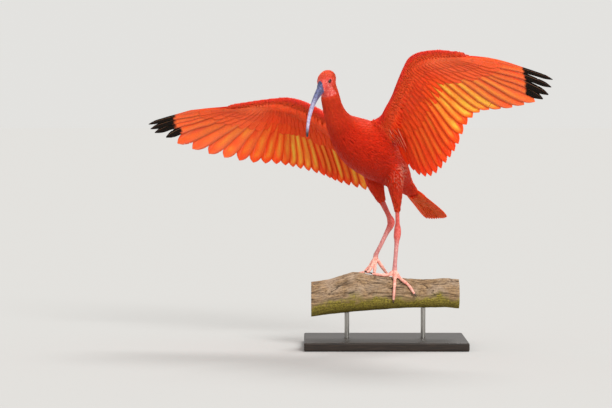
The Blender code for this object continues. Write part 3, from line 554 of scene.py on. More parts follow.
def sheet_axes(wing, index, share):
    """Directions in the sheet: along the feather, towards the wing's tip, and out of its upper side.

    The last value is the pitch from one feather to the next.
    """
    along = unit(sheet(wing, index, share + 0.05) - sheet(wing, index, share - 0.05))
    outward = sheet(wing, index + 0.5, share) - sheet(wing, index - 0.5, share)
    outward = outward - along * dot(outward, along)
    pitch = np.linalg.norm(outward, axis=1)
    outward = unit(outward)
    return along, outward, np.cross(outward, along) * wing["side"], pitch


def arm_tube(wing):
    """Shoulder, arm and hand."""
    index = np.linspace(0.0, 23.0, 11)
    lead, root, tip, outward, dorsal = wing_frame(wing, index)
    rear = root + unit(tip - root) * curve(ROOT_COVER, index)
    lift = unit(np.cross(outward, lead - rear))
    lift *= np.sign(dot(lift, dorsal))
    thick = curve(ARM_HALF_THICKNESS, index)
    rings = list(zip((lead + rear) / 2, (lead - rear) / 2, lift * thick))
    first, last = rings[0], rings[-1]
    width, height = SHOULDER_HALF_SIZE
    inner = (wing["shoulder"], unit(first[1]) * width, unit(first[2]) * height)
    width, height = FINGER_HALF_SIZE
    finger = sheet(wing, np.array([23.0]), np.array([0.13]))[0] * 0.88 + lead[-1] * 0.12
    end = (finger, unit(last[1]) * width, unit(last[2]) * height)
    return tube([inner] + rings + [end], first=-1)


# Tail sheet


def tail_frame():
    root = np.array((0.0, BODY[1][0], BODY[1][1]))
    along = unit(TAIL_TIP - root)
    outward = unit(LEFT - along * dot(LEFT, along))
    dorsal = np.cross(outward, along)
    return root, along, outward, dorsal * np.sign(dorsal[2])


def tail_tube():
    root, along, outward, dorsal = tail_frame()
    first = curve(body_tube(), np.array([TAIL_START]))[0]
    half_width, half_height = TAIL_ROOT_SIZE
    rings = [(first[:3], outward * half_width, dorsal * half_height)]
    rings += [(root + along * d, outward * w, dorsal * h) for d, w, h in TAIL_STUB]
    return tube(rings)


# Materials


def add(tree, kind, inputs=None, out=0, **settings):
    """Adds a node with its settings, sets or joins its inputs, and returns one of its outputs.

    Colours are given as hex text. A map range has its value at input 0, what it maps from at 1 and 2, and
    to at 3 and 4. A mix of colours has its share at 0, the colours at 6 and 7, and its output at 2. An
    attribute is read as a colour at output 0, as a vector at 1 and as a number at 2. Texture coordinates
    of the object are at output 3.
    """
    made = tree.nodes.new("ShaderNode" + kind)
    for name, value in settings.items():
        setattr(made, name, value)
    for name, value in (inputs or {}).items():
        if isinstance(value, bpy.types.NodeSocket):
            tree.links.new(value, made.inputs[name])
        else:
            made.inputs[name].default_value = paint(value) if isinstance(value, str) else value
    return made.outputs[out]


def new_finish(name, values):
    """A material with values for its shader's sockets, and its node tree."""
    finish = bpy.data.materials.new(name)
    finish.use_nodes = True
    for key, value in values.items():
        finish.node_tree.nodes["Principled BSDF"].inputs[key].default_value = value
    return finish, finish.node_tree


def surfaced(finish, colour, normal=None):
    """The finish with its colour, and its normal if it has one, joined to the shader."""
    inputs = finish.node_tree.nodes["Principled BSDF"].inputs
    finish.node_tree.links.new(colour, inputs["Base Color"])
    if normal is not None:
        finish.node_tree.links.new(normal, inputs["Normal"])
    return finish


def feather_finish(name, barb_mm, contrast):
    """Keratin vane, grown and matt: slanting barbs on both sides of a smooth quill.

    Keratin has an IOR of 1.54, and its barbs scatter most of the gloss, so the specular level is low. The
    vane is thin, and some light goes through it and comes out redder. Barbs are 0.3 mm apart, too fine to
    show, so they are drawn in bundles of barb_mm.
    """
    finish, tree = new_finish(name, {
        "Roughness": 0.55, "IOR": 1.54, "Specular IOR Level": 0.06, "Subsurface Weight": 0.35,
        "Subsurface Radius": (1.0, 0.35, 0.08), "Subsurface Scale": 0.0012,
    })
    tint = add(tree, "Attribute", attribute_name="Tint")
    place = add(tree, "UVMap", uv_map="Vane")
    across = add(tree, "SeparateXYZ", {"Vector": place})
    down = add(tree, "SeparateXYZ", {"Vector": place}, 1)
    beside = add(tree, "Math", {0: across}, operation="ABSOLUTE")
    slant = add(tree, "Math", {0: beside, 1: -1.1, 2: down}, operation="MULTIPLY_ADD")
    bundles = {"W": slant, "Scale": 10.0 / barb_mm, "Detail": 2.0, "Roughness": 0.6}
    barbs = add(tree, "TexNoise", bundles, noise_dimensions="1D")
    shades = {1: 0.30, 2: 0.70, 3: 1 - contrast, 4: 1 + contrast * 0.4}
    lines = add(tree, "MapRange", {0: barbs, **shades})
    lengthwise = add(tree, "Mapping", {"Vector": place, "Scale": (6.0, 0.35, 1.0)})
    streaks = add(tree, "TexNoise", {"Vector": lengthwise, "Detail": 3.0}, noise_dimensions="2D")
    flecks = add(tree, "MapRange", {0: streaks, 1: 0.36, 2: 0.66, 3: 0.84, 4: 1.10})
    times = {"data_type": "RGBA", "blend_type": "MULTIPLY"}
    worn = add(tree, "Mix", {0: 1.0, 6: tint, 7: flecks}, 2, **times)
    barbed = add(tree, "Mix", {0: 1.0, 6: worn, 7: lines}, 2, **times)
    quill = add(tree, "Attribute", out=2, attribute_name="Quill")
    pale = add(tree, "Mix", {0: quill, 6: barbed, 7: QUILL_PALE}, 2, data_type="RGBA")
    bump = add(tree, "Bump", {"Strength": 0.30, "Distance": 0.0004, "Height": barbs})
    return surfaced(finish, pale, bump)


def skin_finish():
    """Flesh: red down between the feathers, and bare rose-red skin on the face with painted pale highlights.

    Thin living skin has an IOR near 1.4. It is slightly moist, in pebbles about 0.8 mm across.
    """
    finish, tree = new_finish("feathered_skin", {
        "Roughness": 0.48, "IOR": 1.42, "Specular IOR Level": 0.4,
    })
    tint = add(tree, "Attribute", attribute_name="Tint")
    place = add(tree, "TexCoord", out=3)
    speck = add(tree, "TexNoise", {"Vector": place, "Scale": 900.0, "Detail": 3.0})
    down = add(tree, "MapRange", {0: speck, 1: 0.35, 2: 0.65, 3: 0.80, 4: 1.0})
    dark = add(tree, "Mix", {0: 1.0, 6: tint, 7: down}, 2, data_type="RGBA", blend_type="MULTIPLY")
    pebble = add(tree, "TexVoronoi", {"Vector": place, "Scale": 1250.0})
    cloud = add(tree, "TexNoise", {"Vector": place, "Scale": 230.0, "Detail": 4.0})
    rosy = add(tree, "MapRange", {0: cloud, 1: 0.36, 2: 0.66})
    face = add(tree, "Mix", {0: rosy, 6: "CB322E", 7: "EE6454"}, 2, data_type="RGBA")
    seams = add(tree, "MapRange", {0: pebble, 1: 0.25, 2: 0.62, 3: 0.0, 4: 0.40})
    face = add(tree, "Mix", {0: seams, 6: face, 7: "A82A28"}, 2, data_type="RGBA")
    # Painted highlight: pale streaks over the bare face.
    pale = add(tree, "Attribute", out=2, attribute_name="PaintedHighlight")
    face = add(tree, "Mix", {0: pale, 6: face, 7: "FBB8AA"}, 2, data_type="RGBA")
    slate = add(tree, "Mix", {0: rosy, 6: "343854", 7: "5C608A"}, 2, data_type="RGBA")
    horn = add(tree, "Attribute", out=2, attribute_name="Horn")
    face = add(tree, "Mix", {0: horn, 6: face, 7: slate}, 2, data_type="RGBA")
    bare = add(tree, "Attribute", out=2, attribute_name="Bare")
    whole = add(tree, "Mix", {0: bare, 6: dark, 7: face}, 2, data_type="RGBA")
    bump = add(tree, "Bump", {"Strength": 0.40, "Distance": 0.0003, "Height": pebble})
    return surfaced(finish, whole, bump)


# Big feathers, laid one by one

INNER_COLUMNS, OUTER_COLUMNS = 5, 3  # points across a vane on each side of its quill
COLUMNS = INNER_COLUMNS + 1 + OUTER_COLUMNS
CAMBER = 0.025  # how far a vane's edges bend down, as a share of its width
QUILL_HALF = 0.09  # half the quill's strip across the vane, where the vane runs from -1 to 1
QUILL_TAPER = 1.15  # a quill's radius at its root, in swells; at the tip it is 1 less
SAME = 1e-6  # two places across a vane are one when they are closer than this
CENTIMETRES = 100  # the maps of the vanes are drawn in centimetres
BARB_SHIFT = 0.1  # for each point made before, so that feathers differ in their barbs
CAP_PATCH = np.array([(0, 0), (5e-4, 0), (5e-4, 5e-4), (0, 5e-4)])  # a strip's end face on the baking map


class Gather:
    """Like pieces gathered as one mesh, with tints and maps for their points."""

    def __init__(self):
        self.pieces, self.count = [], 0

    def take(self, points, quads, tints, vane, quill, bake):
        """bake has a place for each corner of each quad, the rest a row for each point."""
        self.pieces.append((points, quads + self.count, tints, vane, quill, bake))
        self.count += len(points)

    def build(self, name, finish):
        points, quads, tints, vane, quill, bake = (np.concatenate(rows) for rows in zip(*self.pieces))
        obj = set_mesh(name, points, quads, finish)
        give_values(obj, "Tint", tints)
        give_values(obj, "Quill", quill)
        give_map(obj, "OFBake", bake)
        give_map(obj, "Vane", vane[quads.ravel()])
        return obj


def unrolled(rows, loop, widths, cell):
    """Baking places: the closed strip unrolled into cell, given as left, bottom, right, top."""
    left, low, right, high = cell
    u = left + (right - left) * np.concatenate([[0.0], np.cumsum(widths)]) / np.sum(widths)
    v = low + (high - low) * np.arange(rows) / (rows - 1)
    corners = [
        [(u[j], v[r]), (u[j + 1], v[r]), (u[j + 1], v[r + 1]), (u[j], v[r + 1])]
        for r in range(rows - 1)
        for j in range(loop)
    ]
    return np.array(corners)


def end_caps(rows, loop):
    """Quads that close both ends of a strip whose loop has as many points above as below."""
    half = loop // 2
    first = [(loop - 1 - j, loop - 2 - j, j + 1, j) for j in range(half - 1)]
    start = (rows - 1) * loop
    last = [(start + j, start + j + 1, start + loop - 2 - j, start + loop - 1 - j) for j in range(half - 1)]
    return np.array(first + last)


def big_feather(
    gather, line, out, widths, side, tint, cell,
    rachis=0.0, swell=0.0004, pale=0.0, cuts=(), thick=VANE_THICKNESS,
):
    """One closed vane along a line. out is its width direction: towards the wing's tip, or the tail's left.

    rachis is the quill's place across the vane, from -1 to 1 outwards, and swell its radius at the root. tint
    gives the colours of its points. side is 1 where out and the line turn left handed about the upper side.
    """
    rows, loop = len(line), 2 * COLUMNS
    forward = unit(np.gradient(line, axis=0))
    out = unit(out - forward * dot(out, forward))
    up = np.cross(out, forward) * side
    inner = np.linspace(-1, rachis - QUILL_HALF, INNER_COLUMNS)
    outer = np.linspace(rachis + QUILL_HALF, 1, OUTER_COLUMNS)
    columns = np.concatenate([inner, [rachis], outer])[::side]
    around = np.concatenate([columns, columns[::-1]])
    x = np.tile(around, (rows, 1))
    share = np.linspace(0, 1, rows)[:, None]
    for row, edge, depth in cuts:
        x[row, np.abs(x[row] - edge) < SAME] *= 1 - depth
    half = widths[:, None] / 2
    top = np.concatenate([np.ones(COLUMNS), -np.ones(COLUMNS)])
    height = -CAMBER * 2 * half * (x - rachis) ** 2 + top * thick / 2
    shaft = np.abs(x - rachis) < SAME
    height = height + np.where(shaft, top * swell * (QUILL_TAPER - share), 0.0)
    points = line[:, None] + out[:, None] * (x * half)[..., None] + up[:, None] * height[..., None]
    length = lengths_along(line)
    down = np.tile(length[:, None] * CENTIMETRES + gather.count * BARB_SHIFT, (1, loop))
    vane = np.stack([(x - rachis) * half * CENTIMETRES, down], axis=-1)
    gaps = np.abs(np.diff(np.concatenate([around, columns[:1]]))) + 0.08
    bake = unrolled(rows, loop, gaps, cell)
    caps = np.tile(bake[0, 0] + CAP_PATCH, (loop - 2, 1, 1))
    quill = np.where(shaft, np.minimum(pale * (1 - share * 0.6), 1.0), 0.0)
    gather.take(
        points.reshape(-1, 3), np.concatenate([ring_quads(rows, loop), end_caps(rows, loop)]),
        tint(x, top, length).reshape(-1, 3), vane.reshape(-1, 2), quill.ravel(), np.concatenate([bake, caps]),
    )


CELL_MARGIN = 0.03


def cells(count, columns):
    """Places for count feathers on the baking map."""
    rows = math.ceil(count / columns)
    for k in range(count):
        u, v = k % columns, k // columns
        start, end = CELL_MARGIN, 1 - CELL_MARGIN
        yield (u + start) / columns, (v + start) / rows, (u + end) / columns, (v + end) / rows


MOST_ROLL = 0.35  # sine of the steepest roll


def rolled(outward, dorsal, pitch, stack):
    """The width direction of a feather that slopes by stack from one feather to the next."""
    roll = np.arcsin(np.minimum(MOST_ROLL, stack / pitch))[:, None]
    return outward * np.cos(roll) + dorsal * np.sin(roll)


# Vanes' widths along their length, as shares of the whole.
COVERT_SHAPE = {0: 0.12, 0.2: 0.60, 0.45: 1.0, 0.75: 0.98, 0.90: 0.76, 0.97: 0.44, 1: 0.10}
TAIL_COVERT_SHAPE = {0: 0.3, 0.3: 0.9, 0.75: 1.0, 0.92: 0.7, 1: 0.1}
FLIGHT_SHAPE = {
    0: 0.16, 0.06: 0.30, 0.14: 0.62, 0.30: 0.95, 0.60: 1.0, 0.80: 0.94, 0.90: 0.76, 0.96: 0.46, 1: 0.05,
}
NOTCHED_SHAPE = {
    0: 0.16, 0.06: 0.30, 0.14: 0.60, 0.36: 1.0, 0.50: 0.92, 0.66: 0.68, 0.82: 0.56, 0.94: 0.42, 1: 0.08,
}
# Parted barbs: where they lie along a feather, how far a cut opens towards root and tip, how deep it is.
TEAR_PLACES, TEAR_OPENING, TEAR_DEPTHS = (0.84, 0.97), (0.014, 0.009), (0.10, 0.28)


def torn_rows(shares, count):
    """Adds close rows where barbs have parted, and says which rows are cut, at which edge and how deep."""
    cuts = []
    for _ in range(count):
        place = chance.uniform(*TEAR_PLACES)
        shares = np.concatenate([shares, [place - TEAR_OPENING[0], place, place + TEAR_OPENING[1]]])
        cuts.append((place, chance.choice([-1.0, 1.0]), chance.uniform(*TEAR_DEPTHS)))
    shares = np.unique(np.round(shares, 6))
    return shares, [(int(np.argmin(np.abs(shares - p))), edge, depth) for p, edge, depth in cuts]


def two_spans(end, count, start, tip_count):
    """Shares of a feather's length, closer together towards its tip."""
    return np.concatenate([np.linspace(0, end, count), np.linspace(start, 1, tip_count)])


def wing_flights(wing, name):
    gather = Gather()
    for index, cell in zip(range(FLIGHTS), cells(FLIGHTS, FLIGHTS)):
        shares, cuts = torn_rows(two_spans(0.84, 38, 0.86, 16), int(chance.integers(0, 4)))
        at = np.full(len(shares), float(index))
        line = sheet(wing, at, shares)
        _, outward, dorsal, pitch = sheet_axes(wing, at, shares)
        shape = NOTCHED_SHAPE if index >= FIRST_BLACK else FLIGHT_SHAPE
        width = number(VANE_WIDTH, index)[0] * number(shape, shares)
        width = np.minimum(width, pitch * (0.85 + 1.75 * ramp(shares, 0.10, 0.30)))
        painted_glow = number(wing["painted_glow"], index)[0] * chance.uniform(0.45, 1.15)
        tone = chance.uniform(0.92, 1.05)

        def tint(x, top, length):
            return flight_tint(x, top, length, index, width, pitch, painted_glow) * tone

        out = rolled(outward, dorsal, pitch, VANE_STACK)
        rachis = 0.25 + 0.2 * float(ramp(index, 12.5, 16.5))
        big_feather(gather, line, out, width, wing["side"], tint, cell, rachis, FLIGHT_QUILL, 0.30, cuts)
    return gather.build(name, VANE_FINISH)


def flight_tint(x, top, length, index, width, pitch, painted_glow):
    """Colours of a flight feather: orange-red below, with painted yellow light along the middle of what
    shows.

    That yellow and part of the orange are painted light, as if shining through the vane. The hand's feathers
    are pinker, with painted shade towards the edges of what shows, where the next feather overlaps. The outer
    ones have black tips.
    """
    share = (length / length[-1])[:, None]
    hand = float(ramp(index, 13.0, 17.5))
    flow = noise_over(index * 3.1, share * 4.0, 0.5 * np.arange(2 * COLUMNS))
    shown = np.clip(2 * pitch / width, 0.5, 2.0)[:, None]
    strip = (x + 1) / shown
    # Painted light: yellow along the middle of what shows, where light would shine through a single vane.
    start, end = 0.30 - 0.22 * painted_glow, 0.80 + 0.10 * painted_glow
    painted_glow_streak = hump(strip - 0.50 - 0.16 * flow, 0, 0.15 + 0.13 * painted_glow)
    painted_glow_streak = painted_glow_streak * ramp(share, start, start + 0.2) * (1 - ramp(share, end, end + 0.1))
    # Painted shade on the hand's feathers, towards both edges of what shows, where the neighbours overlap.
    painted_edge_shade = ramp(np.abs(strip - 0.5), 0.25, 0.5) * ramp(share, 0.35, 0.6) * (1 - ramp(share, 0.90, 1.0))
    under = mix(VANE_RED, VANE_ORANGE, np.clip(0.02 + 0.4 * flow + 0.45 * painted_glow + 0.25 * hand, 0, 1))
    under = mix(under, HAND_PINK, 0.60 * hand * (1 - 0.6 * ramp(strip, 0.0, 0.5)))
    under = mix(under, EDGE_SHADE_PAINT, 0.35 * hand * painted_edge_shade * (1 - painted_glow))
    under = mix(under, PAINTED_GLOW_YELLOW, np.clip(painted_glow * painted_glow_streak * (1.05 + 0.9 * flow), 0, 1))
    # Painted shade: a little darker at both edges of what shows, where the feathers overlap.
    under = under * (0.90 + 0.10 * ramp(strip, 0.0, 0.12) * (1 - ramp(strip, 0.85, 1.05)))[..., None]
    upper = mix(DEEP_SCARLET, SCARLET, np.clip(0.65 + 0.7 * flow - 0.25 * ramp(strip, 0.6, 1.4), 0, 1))
    tints = mix(upper, under, np.broadcast_to((1 - top) / 2, x.shape))
    if index >= FIRST_BLACK:
        edge = BLACK_LENGTHS[index - FIRST_BLACK] + 0.004 * x + 0.003 * flow
        tints = mix(tints, TIP_BLACK, ramp(edge - (length[-1] - length)[:, None], -0.0015, 0.0015))
    return tints


def arm_height(index, ahead, chord):
    """How far the arm's surface stands over the sheet, at a distance ahead of the flight feathers' roots."""
    cover = number(ROOT_COVER, index)
    middle, half = (chord - cover) / 2, (chord + cover) / 2
    return number(ARM_HALF_THICKNESS, index) * np.sqrt(np.clip(1 - ((ahead - middle) / half) ** 2, 0, 1))


def covert_line(wing, index, face, start, reach, height, shares):
    """The middle line of a covert, from its place on the arm out over the sheet."""
    at = np.full(len(shares), float(index))
    lead, root, tip, _, _ = wing_frame(wing, at)
    chord = np.linalg.norm(lead - root, axis=1)
    length = np.linalg.norm(tip - root, axis=1)
    ahead = start * chord - (start * chord + reach * length) * shares
    on_sheet = np.clip(-ahead / length, 0.0, 1.0)
    base = sheet(wing, at, on_sheet) + (lead - root) * (np.clip(ahead, 0.0, 1.0) / chord)[:, None]
    _, axis_out, axis_up, pitch = sheet_axes(wing, at, on_sheet)
    over_arm = arm_height(at, ahead, chord) + height * (shares * 0.9 - 0.25)
    rise = np.maximum(over_arm, height * ramp(shares, -0.2, 0.5))
    rise = rise * (1 - 0.25 * ramp(shares, 0.6, 1.0)) - COVERT_SINK * (1 - ramp(shares, 0.0, 0.40))
    return base + axis_up * (face * rise)[:, None], axis_out, axis_up, pitch


def wing_coverts(wing, name):
    gather = Gather()
    tiers = [(tier, kind, face) for kind, tier in enumerate(COVERT_TIERS + INNER_TIERS) for face in (1, -1)]
    places = cells(sum(tier[2] for tier, _, _ in tiers), 18)
    shares = two_spans(0.78, 12, 0.84, 6)
    for (first, last, count, start, reach, height, width), kind, face in tiers:
        step = (last - first) / (count - 1)
        inner = kind >= len(COVERT_TIERS)
        quill, pale = BARE_QUILL if inner and face < 0 else HIDDEN_QUILL
        for k in range(count):
            index = first + step * (k + chance.uniform(-0.12, 0.12))
            stretch = reach * chance.uniform(0.92, 1.08)
            line, outward, dorsal, pitch = covert_line(wing, index, face, start, stretch, height, shares)
            wide = width * number(COVERT_SHAPE, shares) * (INNER_NARROW if inner else 1.0)
            wide = np.minimum(wide, np.maximum(pitch * step * COVERT_OVERLAP, COVERT_NARROWEST))
            tone = chance.uniform(0.90, 1.06)

            def tint(x, top, length):
                return covert_tint(x, (length / length[-1])[:, None], kind, face, index, inner) * tone

            out = rolled(outward, dorsal, pitch * step, COVERT_STACK)
            big_feather(
                gather, line, out, wide, wing["side"], tint, next(places), 0.1, quill, pale,
                thick=COVERT_THICKNESS,
            )
    return gather.build(name, VANE_FINISH)


def covert_tint(x, share, kind, face, index, inner):
    """Colours of a covert: rust and orange-red below, scarlet above."""
    hand = float(ramp(index, 13.0, 17.0))
    if face > 0:
        base = mix(DEEP_SCARLET, SCARLET, 0.45 + 0.55 * share + 0 * x)
    elif inner:
        base = mix(DEEP_SCARLET, SCARLET, 0.8 * share + 0 * x)
        base = mix(base, AXIL_PALE, 0.85 * hump(x, 0.1, 0.28) * (1 - 0.5 * share))
    else:
        under = (mix(VANE_RED, VANE_ORANGE, 0.20), mix(VANE_RED, COVERT_RUST, 0.55), COVERT_RUST)[kind]
        base = mix(under, VANE_RED, 0.35 * share + 0 * x)
        base = mix(base, HAND_PINK, 0.25 * hand + 0 * x)
    # Painted shade: darker towards the root, which lies under the feathers before it.
    return base * (0.90 + 0.12 * share + 0.03 * np.abs(x))[..., None]


# Tail feathers


def tail_line(spread, height, shares):
    """The middle line of a tail feather: spread runs from -1 at the right edge to 1 at the left edge."""
    root, along, outward, dorsal = tail_frame()
    turn = TAIL_SPREAD / 2 * spread
    direction = along * math.cos(turn) + outward * math.sin(turn)
    across = outward * math.cos(turn) - along * math.sin(turn)
    length = np.linalg.norm(TAIL_TIP - root) * (1 - 0.05 * spread * spread)
    base = root + across * TAIL_ROOTS * spread
    start = base + along * 0.012 + dorsal * height * 0.6
    tip = base + direction * length + dorsal * height
    shares = np.asarray(shares)[:, None]
    line = start + (tip - start) * shares
    line = line + dorsal * TAIL_BEND * 4 * shares * (1 - shares) * np.linalg.norm(tip - start)
    roll = math.copysign(TAIL_ROLL, spread)
    return line, np.tile(across * math.cos(roll) + dorsal * math.sin(roll), (len(line), 1))


def tail_tint(x, top, length):
    """Colours of a tail feather: scarlet, with painted light: brighter below, where it lies in shade, and
    orange painted highlights at the edges.
    """
    share = length / length[-1]
    base = mix(SCARLET, VANE_RED, ramp(share, 0.1, 0.7)[:, None] + 0 * x)
    # Painted light on the shaded underside.
    base = mix(base, TAIL_PAINTED_LIGHT, np.where(top < 0, 0.9, 0.0) + 0 * x)
    outer = ramp(share, 0.1, 0.6)[:, None]
    # Painted highlight: orange towards the edges, more so below.
    base = mix(base, VANE_ORANGE, (0.25 - 0.15 * top) * ramp(np.abs(x), 0.5, 1.0) * outer)
    return base * chance.uniform(0.92, 1.0)


def tail_feathers():
    gather = Gather()
    places = cells(TAIL_FEATHERS + sum(row[1] for row in TAIL_COVERTS), 12)
    middle = (TAIL_FEATHERS - 1) / 2
    for k in range(TAIL_FEATHERS):
        spread = (k - middle) / middle
        height = TAIL_STEP * (1 - int(abs(k - middle)) - (0.5 if spread < 0 else 0.0))
        shares, cuts = torn_rows(two_spans(0.84, 26, 0.87, 12), 2)
        line, out = tail_line(spread, height, shares)
        widths = TAIL_WIDTH * 1.1 * number(FLIGHT_SHAPE, shares)
        rachis = 0.3 * np.sign(spread)
        big_feather(gather, line, out, widths, 1, tail_tint, next(places), rachis, 0.0006, 0.25, cuts)
    shares = two_spans(0.80, 12, 0.85, 6)
    for face, count, reach, height, width in TAIL_COVERTS:
        for k in range(count):
            spread = 2 * k / (count - 1) - 1
            drop = TAIL_STEP * (3.0 if face > 0 else -1.5) * abs(spread)
            line, out = tail_line(spread * 0.85, height - drop, shares * reach * chance.uniform(0.92, 1.06))
            widths = width * number(TAIL_COVERT_SHAPE, shares)
            big_feather(gather, line, out, widths, 1, tail_tint, next(places), pale=0.2)
    return gather.build("tail_feathers", VANE_FINISH)


# Skin of flesh: body, neck, head, thighs, arms and the tail's root as one surface


def drawn_in(form, depth):
    """The same tube, thinner by the coat's depth, given as a curve over its stations."""
    made = {}
    for station, ring in form.items():
        less = number(depth, station)[0]
        a, b = ring[3:6], ring[6:]
        sizes = np.linalg.norm(a), np.linalg.norm(b)
        parts = [v * max(0.3, 1 - less / size) for v, size in zip((a, b), sizes)]
        made[station] = np.concatenate([ring[:3], *parts])
    return made


def body_tint(station, angle):
    """Scarlet with painted light and shade: a painted highlight along the back, painted shade on the breast
    and belly, and brighter up the neck.
    """
    above = np.sin(angle)
    # Painted highlight: brighter on top, where the light falls.
    base = mix(SCARLET, BRIGHT_SCARLET, ramp(above, -0.2, 0.9) * 0.6)
    # Painted shade under the breast and belly.
    belly = ramp(-above, -0.1, 0.8) * ramp(station, 1.0, 2.5) * (1 - ramp(station, 7.0, 8.6))
    base = mix(base, DEEP_SCARLET, belly * 0.45)
    return mix(base, BRIGHT_SCARLET, ramp(station, 7.0, 9.0) * 0.55)


def crown_tint(station, _):
    return mix(BRIGHT_SCARLET, CROWN_PINK, ramp(station, 1.5, 4.5) * 0.6)


def thigh_tint(station, angle):
    # Brighter lower down, and a painted highlight on the bird's left side of both thighs, where the light
    # falls.
    return mix(SCARLET, BRIGHT_SCARLET, ramp(station, 2.0, 6.0) * 0.6 + 0.2 * np.cos(angle))


def arm_tint(_, angle):
    """Rust below, scarlet above, with a painted highlight of bright red along the leading edge."""
    below = ramp(-np.sin(angle), -0.15, 0.25)
    base = mix(SCARLET, COVERT_RUST, below * 0.85)
    return mix(base, RIM_HIGHLIGHT_RED, ramp(np.cos(angle), 0.72, 0.97) * 0.85)


def rump_tint(_, angle):
    return mix(SCARLET, VANE_RED, np.full(len(angle), 0.5))


WHOLE_TURN = (0.0, 2 * math.pi)


class Tract:
    """A feathered stretch of skin: its tube, and where and how its small feathers grow.

    depth is the coat's, rows the stations it runs over, gap the distance between feathers, lie the function
    that gives their direction, reach the angles it covers, and leaf_rows the points along one feather.
    """

    def __init__(self, name, form, depth, tint, rows, gap, length, width, lie, reach=WHOLE_TURN, leaf_rows=5):
        self.name, self.form, self.depth, self.tint = name, drawn_in(form, depth), depth, tint
        self.rows, self.gap, self.lie, self.reach, self.leaf_rows = rows, gap, lie, reach, leaf_rows
        self.length, self.width = by_station(length), by_station(width)


def by_station(value):
    """The same size all along a tract, or sizes given by station."""
    return value if isinstance(value, dict) else {0: value, 1: value}


def towards_start(form, station, angle):
    return unit(tube_at(form, station - 0.05, angle) - tube_at(form, station + 0.05, angle))


def towards_end(form, station, angle):
    return -towards_start(form, station, angle)


def over_the_crown(form, station, angle):
    """From the forehead back over the crown, then down the nape."""
    forward, _ = head_axes()
    along, _, _ = head_places(tube_at(form, station, angle))
    down = unit(body_tube()[9][:3] - CRANIUM)
    turn = ramp(-along, -0.004, 0.016)[:, None]
    return unit(-forward * (1 - turn) + down * turn)


def over_the_arm(form, station, angle):
    """From the leading edge back over both faces of the arm, and a little outwards."""
    turn = np.where(np.sin(angle) >= 0, 0.05, -0.05)
    around = unit(tube_at(form, station, angle + turn) - tube_at(form, station, angle - turn))
    return unit(around + 0.35 * towards_end(form, station, angle))


BODY_DEPTH = {0: 0.0010, 3: 0.0022, 6: 0.0024, 8: 0.0014, 11: 0.0008}


def tracts():
    body = body_tube()
    made = [
        Tract(
            "rear", body, BODY_DEPTH, body_tint, (0.2, 4.0), 0.0033, 0.0165, 0.0054, towards_start,
        ),
        Tract(
            "breast", body, BODY_DEPTH, body_tint, (4.0, 7.6), 0.0030,
            {4: 0.0160, 7.6: 0.0130}, {4: 0.0050, 7.6: 0.0032}, towards_start,
        ),
        Tract(
            "neck", body, BODY_DEPTH, body_tint, (7.5, 11.3), 0.0019,
            {7.5: 0.0130, 9.5: 0.0090, 11.3: 0.0056}, {7.5: 0.0027, 9.5: 0.0019, 11.3: 0.0015}, towards_start,
            leaf_rows=4,
        ),
        Tract(
            "nape", nape_tube(), {0: 0.0008, 3: 0.0006}, crown_tint, (0.3, 2.9), 0.0016,
            0.0058, 0.0015, towards_start, leaf_rows=4,
        ),
        Tract(
            "skull", skull_tube(), {0: 0.0004, 8: 0.0002}, crown_tint, (0.05, 6.0), 0.0010,
            {0: 0.0054, 6: 0.0032}, {0: 0.0012, 6: 0.0009}, over_the_crown, leaf_rows=4,
        ),
        Tract(
            "rump", tail_tube(), {0: 0.0012, 3: 0.0008}, rump_tint, (0.0, 3.0), 0.0034,
            0.0190, 0.0056, towards_end,
        ),
    ]
    for name, rows in (("left", LEFT_THIGH), ("right", RIGHT_THIGH)):
        form = leg_tube(rows)
        last = len(form) - 1
        form = drawn_in(form, {0: 0.0070, 1: 0.0045, 2: 0.0010, last: 0.0})
        made.append(Tract(
            "thigh_" + name, form, {0: 0.0018, last: 0.0006}, thigh_tint, (0.5, last - 0.05), 0.0028,
            0.0130, 0.0037, towards_end,
        ))
    for name, wing in (("left", LEFT_WING), ("right", RIGHT_WING)):
        made.append(Tract(
            "wing_" + name, arm_tube(wing), {-1: 0.0012, 10: 0.0005, 11: 0.0001}, arm_tint,
            (-0.6, 10.9), 0.0026, {0: 0.0110, 11: 0.0080}, {0: 0.0034, 11: 0.0026}, over_the_arm, (-2.4, 2.4),
        ))
    return made


SKIN_VOXEL, SKIN_ROUNDS = 0.0021, 5
FLESH_ROWS, FLESH_SIDES = 90, 40
SKIN_PAINTED_SHADE = 0.75  # painted shade: the skin between the feathers is painted darker than the coat over it
TINT_ROWS, TINT_SIDES = 60, 24  # where each tract's colours are read for the skin under it
HORN_EDGE, HORN_LIFT = 0.0006, 0.0007  # half the width of the horn's edge, and how far it stands out


